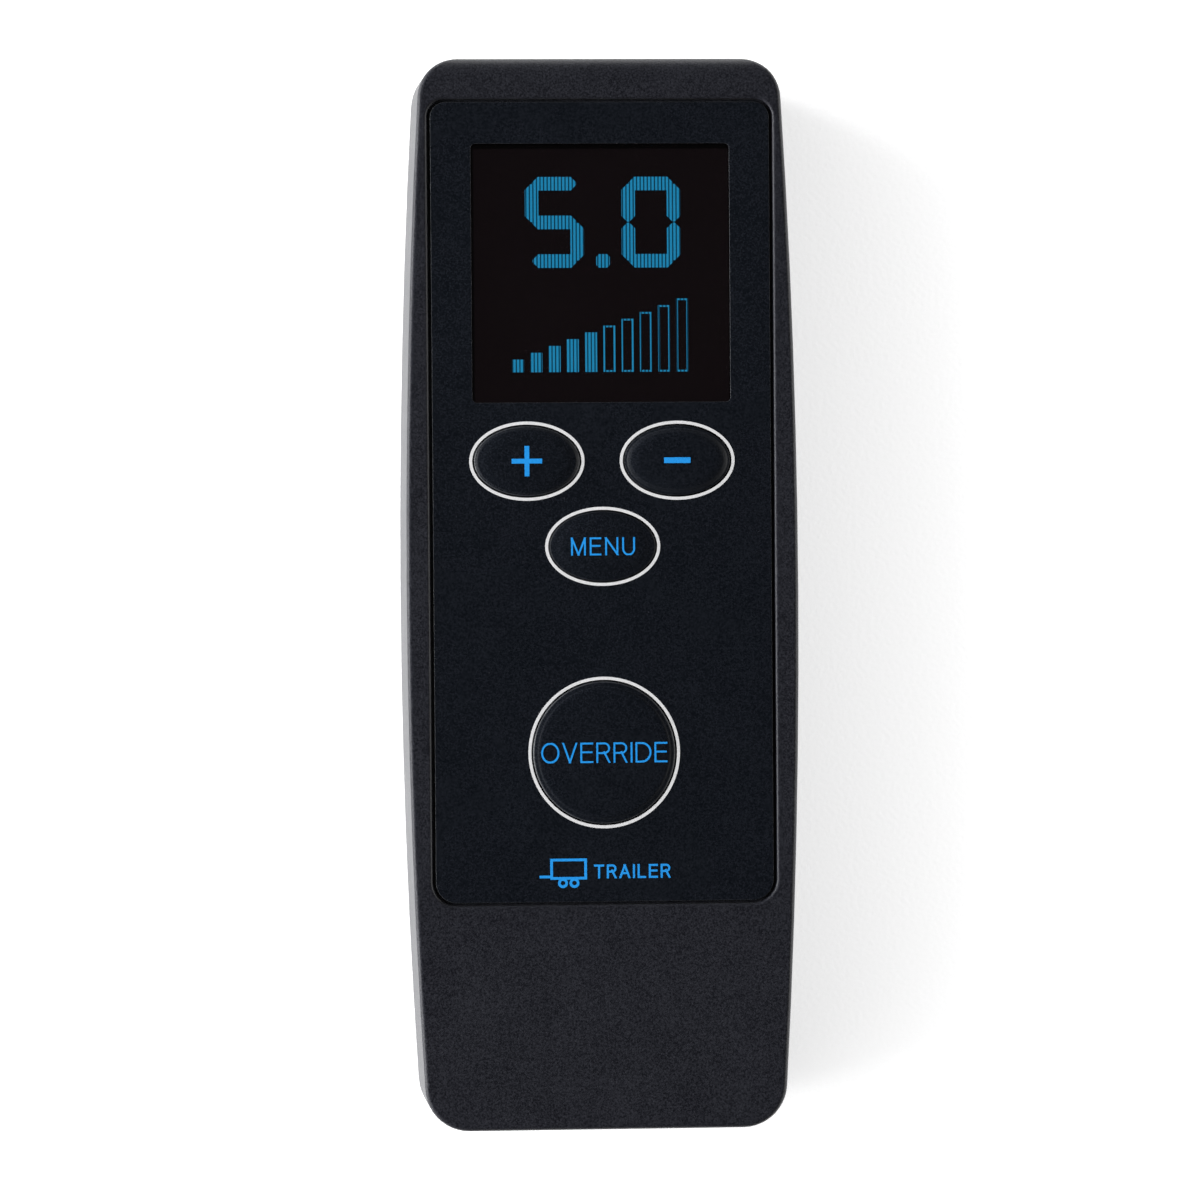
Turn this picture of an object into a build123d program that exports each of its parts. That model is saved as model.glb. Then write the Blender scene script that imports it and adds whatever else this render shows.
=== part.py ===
from build123d import *
import os
from math import radians, sqrt, tan

# Handheld trailer brake controller, all sizes in millimetres.
# The unit lies on its back: +Z points out of the face, +Y to the display end, X across.
# The origin is the middle of the back face.

# Case
case_length = 136.0
case_width = 51.0  # across the middle of the bowed sides
end_width = 46.6  # across the ends, before the corners are rounded
case_height = 24.0
parting_height = 13.0
front_draft = 5.2  # degrees
back_draft = 2.0  # degrees
top_corner_radius = 6.0  # at the display end
bottom_corner_radius = 6.5
face_edge_radius = 0.6
back_edge_chamfer = 2.0
end_roll_radius = 2.8
end_roll_length = 2.4
wall = 2.0
back_floor = 1.8
lip_thickness = 0.9
lip_height = 1.4
lip_gap = 0.1
shadow_gap = 0.4

# Label recess and the keypad sheets laid in it
recess_width = 43.1
recess_length = 100.7
recess_depth = 0.9
recess_from_end = 5.05  # from the display end of the face
recess_top_radius = 2.3
recess_bottom_radius = 3.0
recess_lip = 0.4
recess_floor = 2.0
sheet_gap = 0.4  # from the sheets' edge to the recess wall
adhesive_thickness = 0.1
film_thickness = 0.2
spacer_thickness = 0.3
overlay_thickness = 0.2

# Display window and display
window_size = 32.3
window_corner = 0.6
window_drop = 21.7  # from the recess's display end to the window's middle
lens_border = 1.35  # lens beyond the window, all round
lens_thickness = 1.2
lens_gap = 0.15
lens_ledge = 1.05
panel_border = 1.3  # display glass beyond the window, each side
panel_length = 36.5
panel_thickness = 1.4
panel_overhang = 16.6  # from the window's middle to the glass's display end
panel_corner_cut = 0.5
gasket_thickness = 0.5
tray_wall = 0.7
tray_leg = 1.2
tray_floor = 1.0
tray_gap = 0.15
tray_below_glass = 0.2

# Keys and snap domes
key_spacing = 18.8
plus_minus_drop = 45.15  # from the recess's display end
menu_drop = 55.85
override_drop = 81.65
oval_key_width = 13.2
oval_key_length = 8.7
round_key_diameter = 17.8
key_height = 0.25  # above the overlay
key_skin = 0.25
key_edge_radius = 0.2
key_gap = 0.05
key_well_gap = 0.4
key_stroke = 0.25
nub_diameter = 3.0
dome_height = 0.42
dome_thickness = 0.08
oval_dome_margin = 0.55  # from the dome to the key's edge
round_dome_diameter = 12.0
dome_touch_gap = 0.02

# Flat cable tails and their sockets
tail_slot_gap = 0.15
tail_slot_width = 1.6
tail_bend = 0.7
keypad_tail_width = 12.6
keypad_tail_from_board = 7.9  # from the board's lower edge to the tail's drop
keypad_socket_depth = 4.2
keypad_socket_height = 2.0
keypad_socket_edge = 0.6  # from the board's lower edge
display_tail_width = 16.0
display_tail_reach = 2.2  # from the glass to the tail's drop
display_tail_run = 4.2  # from the glass to the socket
display_socket_depth = 3.4
display_socket_height = 1.5
socket_cheek = 1.5  # socket beyond its tail, each side

# Main board and its fixings
board_width = end_width - 2 * wall
board_length = 59.8
board_thickness = 1.6
board_height = 13.4  # underside of the board
board_end_gap = 0.8  # from the board to the inside of the display end
board_notch_gap = 0.8
board_screw_edge = 2.7  # lower pair, from the board's long edges
board_screw_rise = 9.6  # lower pair, from the board's lower edge
post_diameter = 4.8
board_screw_diameter = 1.9
board_screw_head = 3.6
board_screw_head_height = 1.3
board_screw_length = 5.0

# Case screws and bosses
boss_spacing = 34.0
top_boss_from_end = 6.8
boss_diameter = 6.0
boss_board_gap = 0.7
back_boss_wall = 1.4
counterbore_depth = 6.6
case_screw_diameter = 2.6
case_screw_head = 5.2
case_screw_head_height = 1.9
case_screw_length = 11.0
screw_gap = 0.05
clearance_gap = 0.3
pilot_end = 0.6  # material left above the pilot holes

# Parts on the underside of the board
radio_width = 15.0
radio_length = 21.0
radio_thickness = 0.8
radio_from_end = 7.0  # from the board's display end
radio_pad_pitch = 2.0
radio_pad_radius = 0.5
shield_width = 12.4
shield_length = 14.0
shield_height = 2.0
shield_sheet = 0.2
shield_shift = 2.5  # towards the bottom end of the radio board
chip_size = 10.0
chip_thickness = 1.4
chip_from_radio = 4.0
chip_x = -7.0
lead_pitch = 0.8
lead_count = 11
lead_length = 2.4
lead_width = 0.35
lead_thickness = 0.2
crystal_length = 10.5
crystal_width = 4.5
crystal_height = 3.5
crystal_flange = 0.35
crystal_place = (9.0, 4.0)  # from the chip's row
inductor_size = 6.8
inductor_height = 3.0
inductor_corner = 1.2
inductor_place = (9.0, -6.0)
capacitor_diameter = 5.0
capacitor_height = 5.4
capacitor_base = 5.3
capacitor_base_height = 0.8
capacitor_places = [(-11.0, -12.0), (-3.0, -12.0)]

# Cells, their well and their contacts
cell_diameter = 14.5
cell_length = 50.5
cell_nub_diameter = 5.5
cell_nub_length = 1.3
cell_shoulder = 1.2
cell_nub_edge = 0.3
cell_gap = 0.2
cell_side_gap = 0.3
cell_door_gap = 0.25
cell_roof_gap = 0.45
contact_thickness = 0.4
contact_size = 9.5
contact_corner = 1.0
tab_width = 3.2
tab_reach = 3.0  # along the board's underside
tab_gap = 0.2
spring_room = 4.5
spring_wire = 0.7
spring_base_radius = 4.4
spring_turns = 3.5
spring_taper = 14.0  # degrees
well_wall = 1.2
well_from_end = 6.1  # from the bottom end to the inside of the well

# Battery door
door_overlap = 3.5  # door beyond the well, each side
door_flange = 1.5
door_recess = 0.15
door_flange_height = 1.1
door_gap = 0.2
door_groove_gap = 0.15
door_past_well = 0.6  # beyond the well's end wall
grip_grooves = 6
grip_pitch = 2.0
grip_width = 15.0
grip_depth = 0.5
grip_from_end = 8.0  # from the door's inner end to the middle of the grip
detent_height = 0.1
detent_length = 1.2
rail_wall = 1.45

# Heights and places worked out from the sizes above
top_end = case_length / 2
bottom_end = -case_length / 2
face_inset = (case_height - parting_height) * tan(radians(front_draft))
face_top_end = top_end - face_inset
roll_start = face_top_end - end_roll_length
recess_top = face_top_end - recess_from_end
recess_middle = recess_top - recess_length / 2
recess_face = case_height - recess_depth
roof = recess_face - recess_floor
adhesive_top = recess_face + adhesive_thickness
film_top = adhesive_top + film_thickness
spacer_top = film_top + spacer_thickness
overlay_top = spacer_top + overlay_thickness
key_top = overlay_top + key_height
key_rim = film_top + key_stroke + dome_touch_gap
dome_top = film_top + dome_height

window_middle = recess_top - window_drop
lens_size = window_size + 2 * lens_border
lens_opening = lens_size - 2 * lens_ledge
lens_pocket = lens_size + 2 * lens_gap
lens_base = film_top - lens_thickness
panel_width = window_size + 2 * panel_border
panel_top = roof - gasket_thickness
panel_base = panel_top - panel_thickness
panel_middle = window_middle + panel_overhang - panel_length / 2
panel_edge = panel_middle - panel_length / 2
tray_width = panel_width + 2 * (tray_gap + tray_wall)
tray_length = panel_length + 2 * (tray_gap + tray_wall)

board_top = board_height + board_thickness
board_upper_edge = top_end - wall - face_inset - board_end_gap
board_lower_edge = board_upper_edge - board_length
board_middle = (board_upper_edge + board_lower_edge) / 2
board_screw_x = board_width / 2 - board_screw_edge
top_boss_y = top_end - top_boss_from_end
lower_boss_y = board_lower_edge - boss_diameter / 2 - boss_board_gap
counterbore_diameter = case_screw_head + 2 * clearance_gap
back_boss_diameter = counterbore_diameter + 2 * back_boss_wall
keypad_tail_y = board_lower_edge - keypad_tail_from_board
keypad_socket_y = board_lower_edge + keypad_socket_edge + keypad_socket_depth / 2
display_socket_y = panel_edge - display_tail_run - display_socket_depth / 2
radio_y = board_upper_edge - radio_from_end - radio_length / 2
radio_base = board_height - radio_thickness
chip_y = radio_y - radio_length / 2 - chip_from_radio - chip_size / 2

cell_x = cell_diameter / 2 + cell_gap
cell_axis = back_floor + cell_door_gap + cell_diameter / 2
well_half_width = cell_x + cell_diameter / 2 + cell_side_gap
well_bottom = bottom_end + well_from_end
well_length = 2 * contact_thickness + cell_length + spring_room
well_top = well_bottom + well_length
well_middle = (well_bottom + well_top) / 2
well_roof = cell_axis + cell_diameter / 2 + cell_roof_gap
groove_roof = back_floor + door_groove_gap
rail_top = groove_roof + rail_wall
door_start = bottom_end - wall  # trimmed to the case's end later
door_inner_end = well_top + well_wall + door_past_well
door_length = door_inner_end - door_start
door_width = 2 * (well_half_width + door_overlap)
flange_width = door_width + 2 * door_flange

key_places = {
    "plus": (-key_spacing / 2, recess_top - plus_minus_drop),
    "minus": (key_spacing / 2, recess_top - plus_minus_drop),
    "menu": (0.0, recess_top - menu_drop),
    "override": (0.0, recess_top - override_drop),
}
case_screw_places = [
    (side * boss_spacing / 2, y) for side in (-1, 1) for y in (lower_boss_y, top_boss_y)
]
board_screw_places = [
    (-board_screw_x, board_lower_edge + board_screw_rise),
    (board_screw_x, board_lower_edge + board_screw_rise),
    (0.0, top_boss_y),
]

os.makedirs("parts", exist_ok=True)


def save(piece, node):
    piece.label = node
    export_step(piece, f"parts/{node}.step")


def case_outline(height, inset):
    """The case's plan at one height, set in from its outline at the parting plane."""
    half_middle = case_width / 2 - inset
    half_end = end_width / 2 - inset
    half_length = case_length / 2 - inset
    with BuildSketch(Plane.XY.offset(height)) as outline:
        with BuildLine():
            ThreePointArc((half_end, -half_length), (half_middle, 0), (half_end, half_length))
            Line((half_end, half_length), (-half_end, half_length))
            ThreePointArc((-half_end, half_length), (-half_middle, 0), (-half_end, -half_length))
            Line((-half_end, -half_length), (half_end, -half_length))
        make_face()
        fillet(outline.vertices().group_by(Axis.Y)[-1], top_corner_radius - inset)
        fillet(outline.vertices().group_by(Axis.Y)[0], bottom_corner_radius - inset)
    return outline.sketch


def sheet_outline(height, gap):
    """The label recess's plan, drawn smaller by a gap all round."""
    with BuildSketch(Plane.XY.offset(height)) as outline:
        with Locations((0, recess_middle)):
            Rectangle(recess_width - 2 * gap, recess_length - 2 * gap)
        fillet(outline.vertices().group_by(Axis.Y)[-1], recess_top_radius - gap)
        fillet(outline.vertices().group_by(Axis.Y)[0], recess_bottom_radius - gap)
    return outline.sketch


def window_square(height, size, corner=0.0):
    """A square about the middle of the display window."""
    with BuildSketch(Plane.XY.offset(height)) as square:
        with Locations((0, window_middle)):
            Rectangle(size, size)
        if corner > 0:
            fillet(square.vertices(), corner)
    return square.sketch


def tail_slot(height):
    """The slot that the keypad's tail drops through."""
    with BuildSketch(Plane.XY.offset(height)) as slot:
        with Locations((0, keypad_tail_y)):
            Rectangle(keypad_tail_width + 2 * tail_slot_gap, tail_slot_width)
    return slot.sketch


def key_outline(node, height, grow):
    """One key's plan, grown by a clearance all round."""
    with BuildSketch(Plane.XY.offset(height)) as outline:
        with Locations(key_places[node]):
            if node == "override":
                Circle(round_key_diameter / 2 + grow)
            else:
                Ellipse(oval_key_width / 2 + grow, oval_key_length / 2 + grow)
    return outline.sketch


def discs(places, height, diameter):
    """Equal round discs at a list of places."""
    with BuildSketch(Plane.XY.offset(height)) as plan:
        with Locations(*places):
            Circle(diameter / 2)
    return plan.sketch


def back_body():
    """The back half's solid outer form, before it is hollowed."""
    with BuildPart() as body:
        base_inset = parting_height * tan(radians(back_draft))
        extrude(case_outline(0, base_inset), amount=parting_height, taper=-back_draft)
        chamfer(body.faces().sort_by(Axis.Z)[0].edges(), back_edge_chamfer)
    return body.part


def pan_screws(places, seat, diameter, length, head, head_height):
    """Cross-headed screws driven upwards, their heads under the seat."""
    with BuildPart() as screws:
        extrude(discs(places, seat, diameter), amount=length)
        extrude(discs(places, seat - head_height, head), amount=head_height)
        chamfer(screws.faces().group_by(Axis.Z)[0].edges(), head_height / 4)
        with BuildSketch(Plane.XY.offset(seat - head_height)):
            with Locations(*places):
                Rectangle(head * 0.55, head * 0.14)
                Rectangle(head * 0.14, head * 0.55)
        extrude(amount=head_height * 0.6, mode=Mode.SUBTRACT)
    return screws.part


def cable_socket(middle_y, tail_width, depth, height, cable_side):
    """A flat cable socket: a body with a mouth on one side and a locking bar on top."""
    with BuildPart() as socket:
        with BuildSketch(Plane.XY.offset(board_top)):
            with Locations((0, middle_y)):
                Rectangle(tail_width + 2 * socket_cheek, depth)
        extrude(amount=height)
        chamfer(socket.faces().sort_by(Axis.Z)[-1].edges().filter_by(Axis.X), height / 8)
        with BuildSketch(Plane.XY.offset(board_top + height * 0.4)):
            with Locations((0, middle_y + cable_side * depth * 0.3)):
                Rectangle(tail_width + socket_cheek / 2, depth * 0.4)
        extrude(amount=height * 0.2, mode=Mode.SUBTRACT)
        with BuildSketch(Plane.XY.offset(board_top + height)):
            with Locations((0, middle_y)):
                Rectangle(tail_width + socket_cheek, depth * 0.35)
        extrude(amount=height * 0.15)
    return socket.part


def contact_spring(x, plate_y, way):
    """A conical spring from a contact plate to a cell's flat end."""
    with BuildPart() as spring:
        with BuildLine() as coil:
            Helix(
                pitch=(spring_room - spring_wire) / spring_turns,
                height=spring_room - spring_wire,
                radius=spring_base_radius,
                center=(x, plate_y + way * spring_wire / 2, cell_axis),
                direction=(0, way, 0),
                cone_angle=-spring_taper,
            )
        with BuildSketch(Plane(origin=coil.line @ 0, z_dir=coil.line % 0)):
            Circle(spring_wire / 2)
        sweep()
    return spring.part


# Front shell
with BuildPart() as front_shell:
    extrude(case_outline(parting_height, 0), amount=case_height - parting_height, taper=front_draft)
    # The display end of the face rolls down to the end wall
    with BuildSketch(Plane.YZ):
        with BuildLine():
            RadiusArc(
                (roll_start, case_height),
                (roll_start + end_roll_radius, case_height - end_roll_radius),
                end_roll_radius,
            )
            Polyline(
                (roll_start + end_roll_radius, case_height - end_roll_radius),
                (top_end + end_roll_radius, case_height - end_roll_radius),
                (top_end + end_roll_radius, case_height + end_roll_radius),
                (roll_start, case_height + end_roll_radius),
                (roll_start, case_height),
            )
        make_face()
    extrude(amount=case_width, both=True, mode=Mode.SUBTRACT)
    rim_edges = front_shell.edges().filter_by(lambda e: e.center().Z > case_height - end_roll_radius)
    roll_seam = rim_edges.filter_by(Axis.X).sort_by(Axis.Z)[-2:].sort_by(Axis.Y)[-1]
    fillet(rim_edges - [roll_seam], face_edge_radius)
    # Inside, and the lip that laps into the back shell
    cavity = case_outline(parting_height, wall)
    extrude(cavity, amount=roof - parting_height, taper=front_draft, mode=Mode.SUBTRACT)
    lip_base = parting_height - lip_height
    extrude(case_outline(lip_base, wall - lip_thickness) - case_outline(lip_base, wall), amount=lip_height)
    # Label recess with a rounded lip
    extrude(sheet_outline(recess_face, 0), amount=recess_depth, mode=Mode.SUBTRACT)
    face = front_shell.faces().filter_by(Plane.XY).sort_by(Axis.Z)[-1]
    fillet(face.inner_wires()[0].edges(), recess_lip)
    # Display opening with a ledge for the lens, and the slot for the keypad's tail
    extrude(window_square(lens_base, lens_pocket), amount=recess_face - lens_base, mode=Mode.SUBTRACT)
    extrude(window_square(roof, lens_opening), amount=lens_base - roof, mode=Mode.SUBTRACT)
    extrude(tail_slot(roof), amount=recess_floor, mode=Mode.SUBTRACT)
    # Bosses for the case screws and posts for the board
    extrude(discs(case_screw_places, parting_height, boss_diameter), amount=roof - parting_height)
    extrude(discs(board_screw_places, board_top, post_diameter), amount=roof - board_top)
    case_pilots = discs(case_screw_places, parting_height, case_screw_diameter + 2 * screw_gap)
    extrude(case_pilots, amount=roof - pilot_end - parting_height, mode=Mode.SUBTRACT)
    board_pilots = discs(board_screw_places, board_top, board_screw_diameter + 2 * screw_gap)
    extrude(board_pilots, amount=roof - pilot_end - board_top, mode=Mode.SUBTRACT)
save(front_shell.part, "front_shell")

# Back shell, with the battery well and the rails of the door
with BuildPart() as back_shell:
    add(back_body())
    # Everything above the rails is open inside
    rail_inset = wall + (parting_height - rail_top) * tan(radians(back_draft))
    cavity = case_outline(rail_top, rail_inset)
    extrude(cavity, amount=parting_height - rail_top, taper=-back_draft, mode=Mode.SUBTRACT)
    # Below the rails' top only the electronics end is hollow
    with BuildSketch(Plane.XY.offset(back_floor)):
        add(case_outline(0, rail_inset))
        with Locations((0, door_inner_end + rail_wall)):
            Rectangle(case_width, case_length, align=(Align.CENTER, Align.MAX), mode=Mode.SUBTRACT)
    extrude(amount=rail_top - back_floor, mode=Mode.SUBTRACT)
    # Battery well: walls and roof, then its inside, open to the door
    with BuildSketch(Plane.XY.offset(groove_roof)):
        with Locations((0, well_middle)):
            Rectangle(2 * (well_half_width + well_wall), well_length + 2 * well_wall)
    extrude(amount=well_roof + well_wall - groove_roof)
    with BuildSketch(Plane.XY):
        with Locations((0, well_middle)):
            Rectangle(2 * well_half_width, well_length)
    extrude(amount=well_roof, mode=Mode.SUBTRACT)
    # Slots for the two terminals' tabs in the well's end wall
    with BuildSketch(Plane.XZ.offset(-well_top)):
        with Locations((-cell_x, board_height - contact_thickness / 2),
                       (cell_x, board_height - contact_thickness / 2)):
            Rectangle(tab_width + 2 * tab_gap, contact_thickness + 2 * tab_gap)
    extrude(amount=-well_wall, mode=Mode.SUBTRACT)
    # T-shaped channel of the door, open at the bottom end
    with BuildSketch(Plane.XY):
        with Locations((0, door_start)):
            Rectangle(door_width + 2 * door_gap, door_length + door_gap, align=(Align.CENTER, Align.MIN))
    extrude(amount=groove_roof, mode=Mode.SUBTRACT)
    groove_floor = door_flange_height - door_groove_gap
    with BuildSketch(Plane.XY.offset(groove_floor)):
        with Locations((0, door_start)):
            Rectangle(flange_width + 2 * door_gap, door_length + door_gap, align=(Align.CENTER, Align.MIN))
    extrude(amount=groove_roof - groove_floor, mode=Mode.SUBTRACT)
    # Screw bosses, drilled and counterbored from the back
    extrude(discs(case_screw_places, 0, back_boss_diameter), amount=counterbore_depth + wall)
    extrude(discs(case_screw_places, 0, boss_diameter), amount=parting_height)
    extrude(discs(case_screw_places, 0, counterbore_diameter), amount=counterbore_depth, mode=Mode.SUBTRACT)
    screw_holes = discs(case_screw_places, 0, case_screw_diameter + 2 * clearance_gap)
    extrude(screw_holes, amount=parting_height, mode=Mode.SUBTRACT)
    # Rebate for the front shell's lip, and the shadow line round the joint
    rebate_base = parting_height - lip_height - lip_gap
    rebate = case_outline(rebate_base, wall - lip_thickness - lip_gap) - case_outline(rebate_base, wall)
    extrude(rebate, amount=lip_height + lip_gap, mode=Mode.SUBTRACT)
    shadow_base = parting_height - shadow_gap
    shadow_line = case_outline(shadow_base, -shadow_gap) - case_outline(shadow_base, shadow_gap)
    extrude(shadow_line, amount=shadow_gap, mode=Mode.SUBTRACT)
save(back_shell.part, "back_shell")

# Battery door: a T-shaped slide, trimmed to the case's outer form, with a grooved grip
with BuildPart() as battery_door:
    with BuildSketch(Plane.XY.offset(door_recess)):
        with Locations((0, door_start)):
            Rectangle(door_width, door_length, align=(Align.CENTER, Align.MIN))
    extrude(amount=back_floor - door_recess)
    with BuildSketch(Plane.XY.offset(door_flange_height)):
        with Locations((0, door_start)):
            Rectangle(flange_width, door_length, align=(Align.CENTER, Align.MIN))
    extrude(amount=back_floor - door_flange_height)
    add(back_body(), mode=Mode.INTERSECT)
    with BuildSketch(Plane.XY.offset(door_recess)):
        with Locations((0, door_inner_end - grip_from_end)):
            with GridLocations(0, grip_pitch, 1, grip_grooves):
                SlotOverall(grip_width, grip_pitch / 2)
    extrude(amount=grip_depth, mode=Mode.SUBTRACT)
    # Detent ribs on top of the flanges, inside the running clearance
    with BuildSketch(Plane.XY.offset(back_floor)):
        with Locations((0, door_inner_end - 2 * detent_length)):
            with GridLocations(door_width, 0, 2, 1):
                Rectangle(door_flange, detent_length)
    extrude(amount=detent_height)
save(battery_door.part, "battery_door")

case_screws = pan_screws(case_screw_places, counterbore_depth, case_screw_diameter,
                         case_screw_length, case_screw_head, case_screw_head_height)
save(case_screws, "case_screws")

# Keypad sheets, from the shell outwards
with BuildPart() as keypad_adhesive:
    extrude(sheet_outline(recess_face, sheet_gap), amount=adhesive_thickness)
    extrude(window_square(recess_face, lens_pocket), amount=adhesive_thickness, mode=Mode.SUBTRACT)
    extrude(tail_slot(recess_face), amount=adhesive_thickness, mode=Mode.SUBTRACT)
save(keypad_adhesive.part, "keypad_adhesive")

with BuildPart() as circuit_film:
    extrude(sheet_outline(adhesive_top, sheet_gap), amount=film_thickness)
    extrude(window_square(adhesive_top, lens_pocket), amount=film_thickness, mode=Mode.SUBTRACT)
    extrude(tail_slot(adhesive_top), amount=film_thickness, mode=Mode.SUBTRACT)
    # The tail turns down through the slot and then up the unit to its socket on the board
    sheet_level = adhesive_top + film_thickness / 2
    socket_level = board_top + keypad_socket_height / 2
    with BuildSketch(Plane.YZ):
        with BuildLine():
            FilletPolyline(
                (keypad_tail_y - tail_slot_width, sheet_level),
                (keypad_tail_y, sheet_level),
                (keypad_tail_y, socket_level),
                (keypad_socket_y - keypad_socket_depth / 2, socket_level),
                radius=tail_bend,
            )
        trace(line_width=film_thickness)
    extrude(amount=keypad_tail_width / 2, both=True)
save(circuit_film.part, "circuit_film")

with BuildPart() as dome_spacer:
    extrude(sheet_outline(film_top, sheet_gap), amount=spacer_thickness)
    extrude(window_square(film_top, lens_pocket), amount=spacer_thickness, mode=Mode.SUBTRACT)
    for node in key_places:
        extrude(key_outline(node, film_top, key_well_gap), amount=spacer_thickness, mode=Mode.SUBTRACT)
save(dome_spacer.part, "dome_spacer")

with BuildPart() as graphic_overlay:
    extrude(sheet_outline(spacer_top, sheet_gap), amount=overlay_thickness)
    window = window_square(spacer_top, window_size, window_corner)
    extrude(window, amount=overlay_thickness, mode=Mode.SUBTRACT)
    for node in key_places:
        extrude(key_outline(node, spacer_top, key_gap), amount=overlay_thickness, mode=Mode.SUBTRACT)
save(graphic_overlay.part, "graphic_overlay")

# Each key is an embossed cap of the film, with a nub that bears on its snap dome
for node in key_places:
    with BuildPart() as key:
        extrude(key_outline(node, key_rim, 0), amount=key_top - key_rim)
        fillet(key.faces().sort_by(Axis.Z)[-1].edges(), key_edge_radius)
        inside = key_outline(node, key_rim, -key_skin)
        extrude(inside, amount=key_top - key_skin - key_rim, mode=Mode.SUBTRACT)
        nub = discs([key_places[node]], dome_top + dome_touch_gap, nub_diameter)
        extrude(nub, amount=key_top - key_skin - dome_top - dome_touch_gap)
    save(key.part, f"{node}_key")

    oval_dome_diameter = oval_key_length - 2 * oval_dome_margin
    foot = (round_dome_diameter if node == "override" else oval_dome_diameter) / 2
    outer_radius = (foot**2 + dome_height**2) / (2 * dome_height)
    inner_radius = outer_radius - dome_thickness
    inner_foot = sqrt(inner_radius**2 - (outer_radius - dome_height) ** 2)
    dome_origin = (*key_places[node], film_top)
    with BuildPart() as dome:
        with BuildSketch(Plane(origin=dome_origin, x_dir=(1, 0, 0), z_dir=(0, -1, 0))):
            with BuildLine():
                RadiusArc((0, dome_height), (foot, 0), outer_radius)
                Line((foot, 0), (inner_foot, 0))
                RadiusArc((inner_foot, 0), (0, dome_height - dome_thickness), -inner_radius)
                Line((0, dome_height - dome_thickness), (0, dome_height))
            make_face()
        revolve(axis=Axis(dome_origin, (0, 0, 1)))
    save(dome.part, f"{node}_dome")

# Display: lens, its tape, gasket, glass, tray and tail
with BuildPart() as display_lens:
    extrude(window_square(lens_base, lens_size, window_corner), amount=lens_thickness)
save(display_lens.part, "display_lens")

with BuildPart() as lens_tape:
    extrude(window_square(film_top, lens_size), amount=spacer_thickness)
    tape_opening = window_square(film_top, window_size + 2 * lens_gap)
    extrude(tape_opening, amount=spacer_thickness, mode=Mode.SUBTRACT)
save(lens_tape.part, "lens_tape")

with BuildPart() as display_gasket:
    extrude(window_square(panel_top, panel_width), amount=gasket_thickness)
    extrude(window_square(panel_top, lens_opening), amount=gasket_thickness, mode=Mode.SUBTRACT)
save(display_gasket.part, "display_gasket")

with BuildPart() as display_panel:
    with BuildSketch(Plane.XY.offset(panel_base)) as glass:
        with Locations((0, panel_middle)):
            Rectangle(panel_width, panel_length)
        chamfer(glass.vertices(), panel_corner_cut)
    extrude(amount=panel_thickness)
save(display_panel.part, "display_panel")

with BuildPart() as display_tray:
    tray_top = panel_top - tray_below_glass
    with BuildSketch(Plane.XY.offset(board_top)):
        with Locations((0, panel_middle)):
            RectangleRounded(tray_width, tray_length, tray_wall)
    extrude(amount=tray_top - board_top)
    with BuildSketch(Plane.XY.offset(panel_base)):
        with Locations((0, panel_middle)):
            Rectangle(panel_width + 2 * tray_gap, panel_length + 2 * tray_gap)
        # Way out for the display's tail
        with Locations((0, panel_edge)):
            Rectangle(display_tail_width + 2 * tray_wall, 4 * tray_wall)
    extrude(amount=tray_top - panel_base, mode=Mode.SUBTRACT)
    with BuildSketch(Plane.XY.offset(board_top)):
        with Locations((0, panel_middle)):
            Rectangle(tray_width - 2 * tray_leg, tray_length - 2 * tray_leg)
    extrude(amount=panel_base - tray_floor - board_top, mode=Mode.SUBTRACT)
save(display_tray.part, "display_tray")

with BuildPart() as display_flex:
    glass_level = panel_base + panel_thickness / 2
    socket_level = board_top + display_socket_height / 2
    with BuildSketch(Plane.YZ):
        with BuildLine():
            FilletPolyline(
                (panel_edge, glass_level),
                (panel_edge - display_tail_reach, glass_level),
                (panel_edge - display_tail_reach, socket_level),
                (display_socket_y + display_socket_depth / 2, socket_level),
                radius=tail_bend,
            )
        trace(line_width=film_thickness)
    extrude(amount=display_tail_width / 2, both=True)
save(display_flex.part, "display_flex")

keypad_connector = cable_socket(keypad_socket_y, keypad_tail_width, keypad_socket_depth,
                                keypad_socket_height, -1)
save(keypad_connector, "keypad_connector")
display_connector = cable_socket(display_socket_y, display_tail_width, display_socket_depth,
                                 display_socket_height, 1)
save(display_connector, "display_connector")

# Main board, notched for the upper case bosses, and its screws
with BuildPart() as main_board:
    notch_width = board_width - boss_spacing + boss_diameter + 2 * board_notch_gap
    notch_length = 2 * (board_upper_edge - top_boss_y) + boss_diameter + 2 * board_notch_gap
    with BuildSketch(Plane.XY.offset(board_height)):
        with Locations((0, board_middle)):
            Rectangle(board_width, board_length)
        with Locations((-board_width / 2, board_upper_edge), (board_width / 2, board_upper_edge)):
            Rectangle(notch_width, notch_length, mode=Mode.SUBTRACT)
        with Locations(*board_screw_places):
            Circle((board_screw_diameter + clearance_gap) / 2, mode=Mode.SUBTRACT)
    extrude(amount=board_thickness)
save(main_board.part, "main_board")

board_screws = pan_screws(board_screw_places, board_height, board_screw_diameter,
                          board_screw_length, board_screw_head, board_screw_head_height)
save(board_screws, "board_screws")

# Radio module: its board with half holes along the long edges, and its shield can
with BuildPart() as radio_board:
    pad_count = int(radio_length / radio_pad_pitch) - 1
    with BuildSketch(Plane.XY.offset(radio_base)):
        with Locations((0, radio_y)):
            Rectangle(radio_width, radio_length)
            with GridLocations(radio_width, radio_pad_pitch, 2, pad_count):
                Circle(radio_pad_radius, mode=Mode.SUBTRACT)
    extrude(amount=radio_thickness)
save(radio_board.part, "radio_board")

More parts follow.
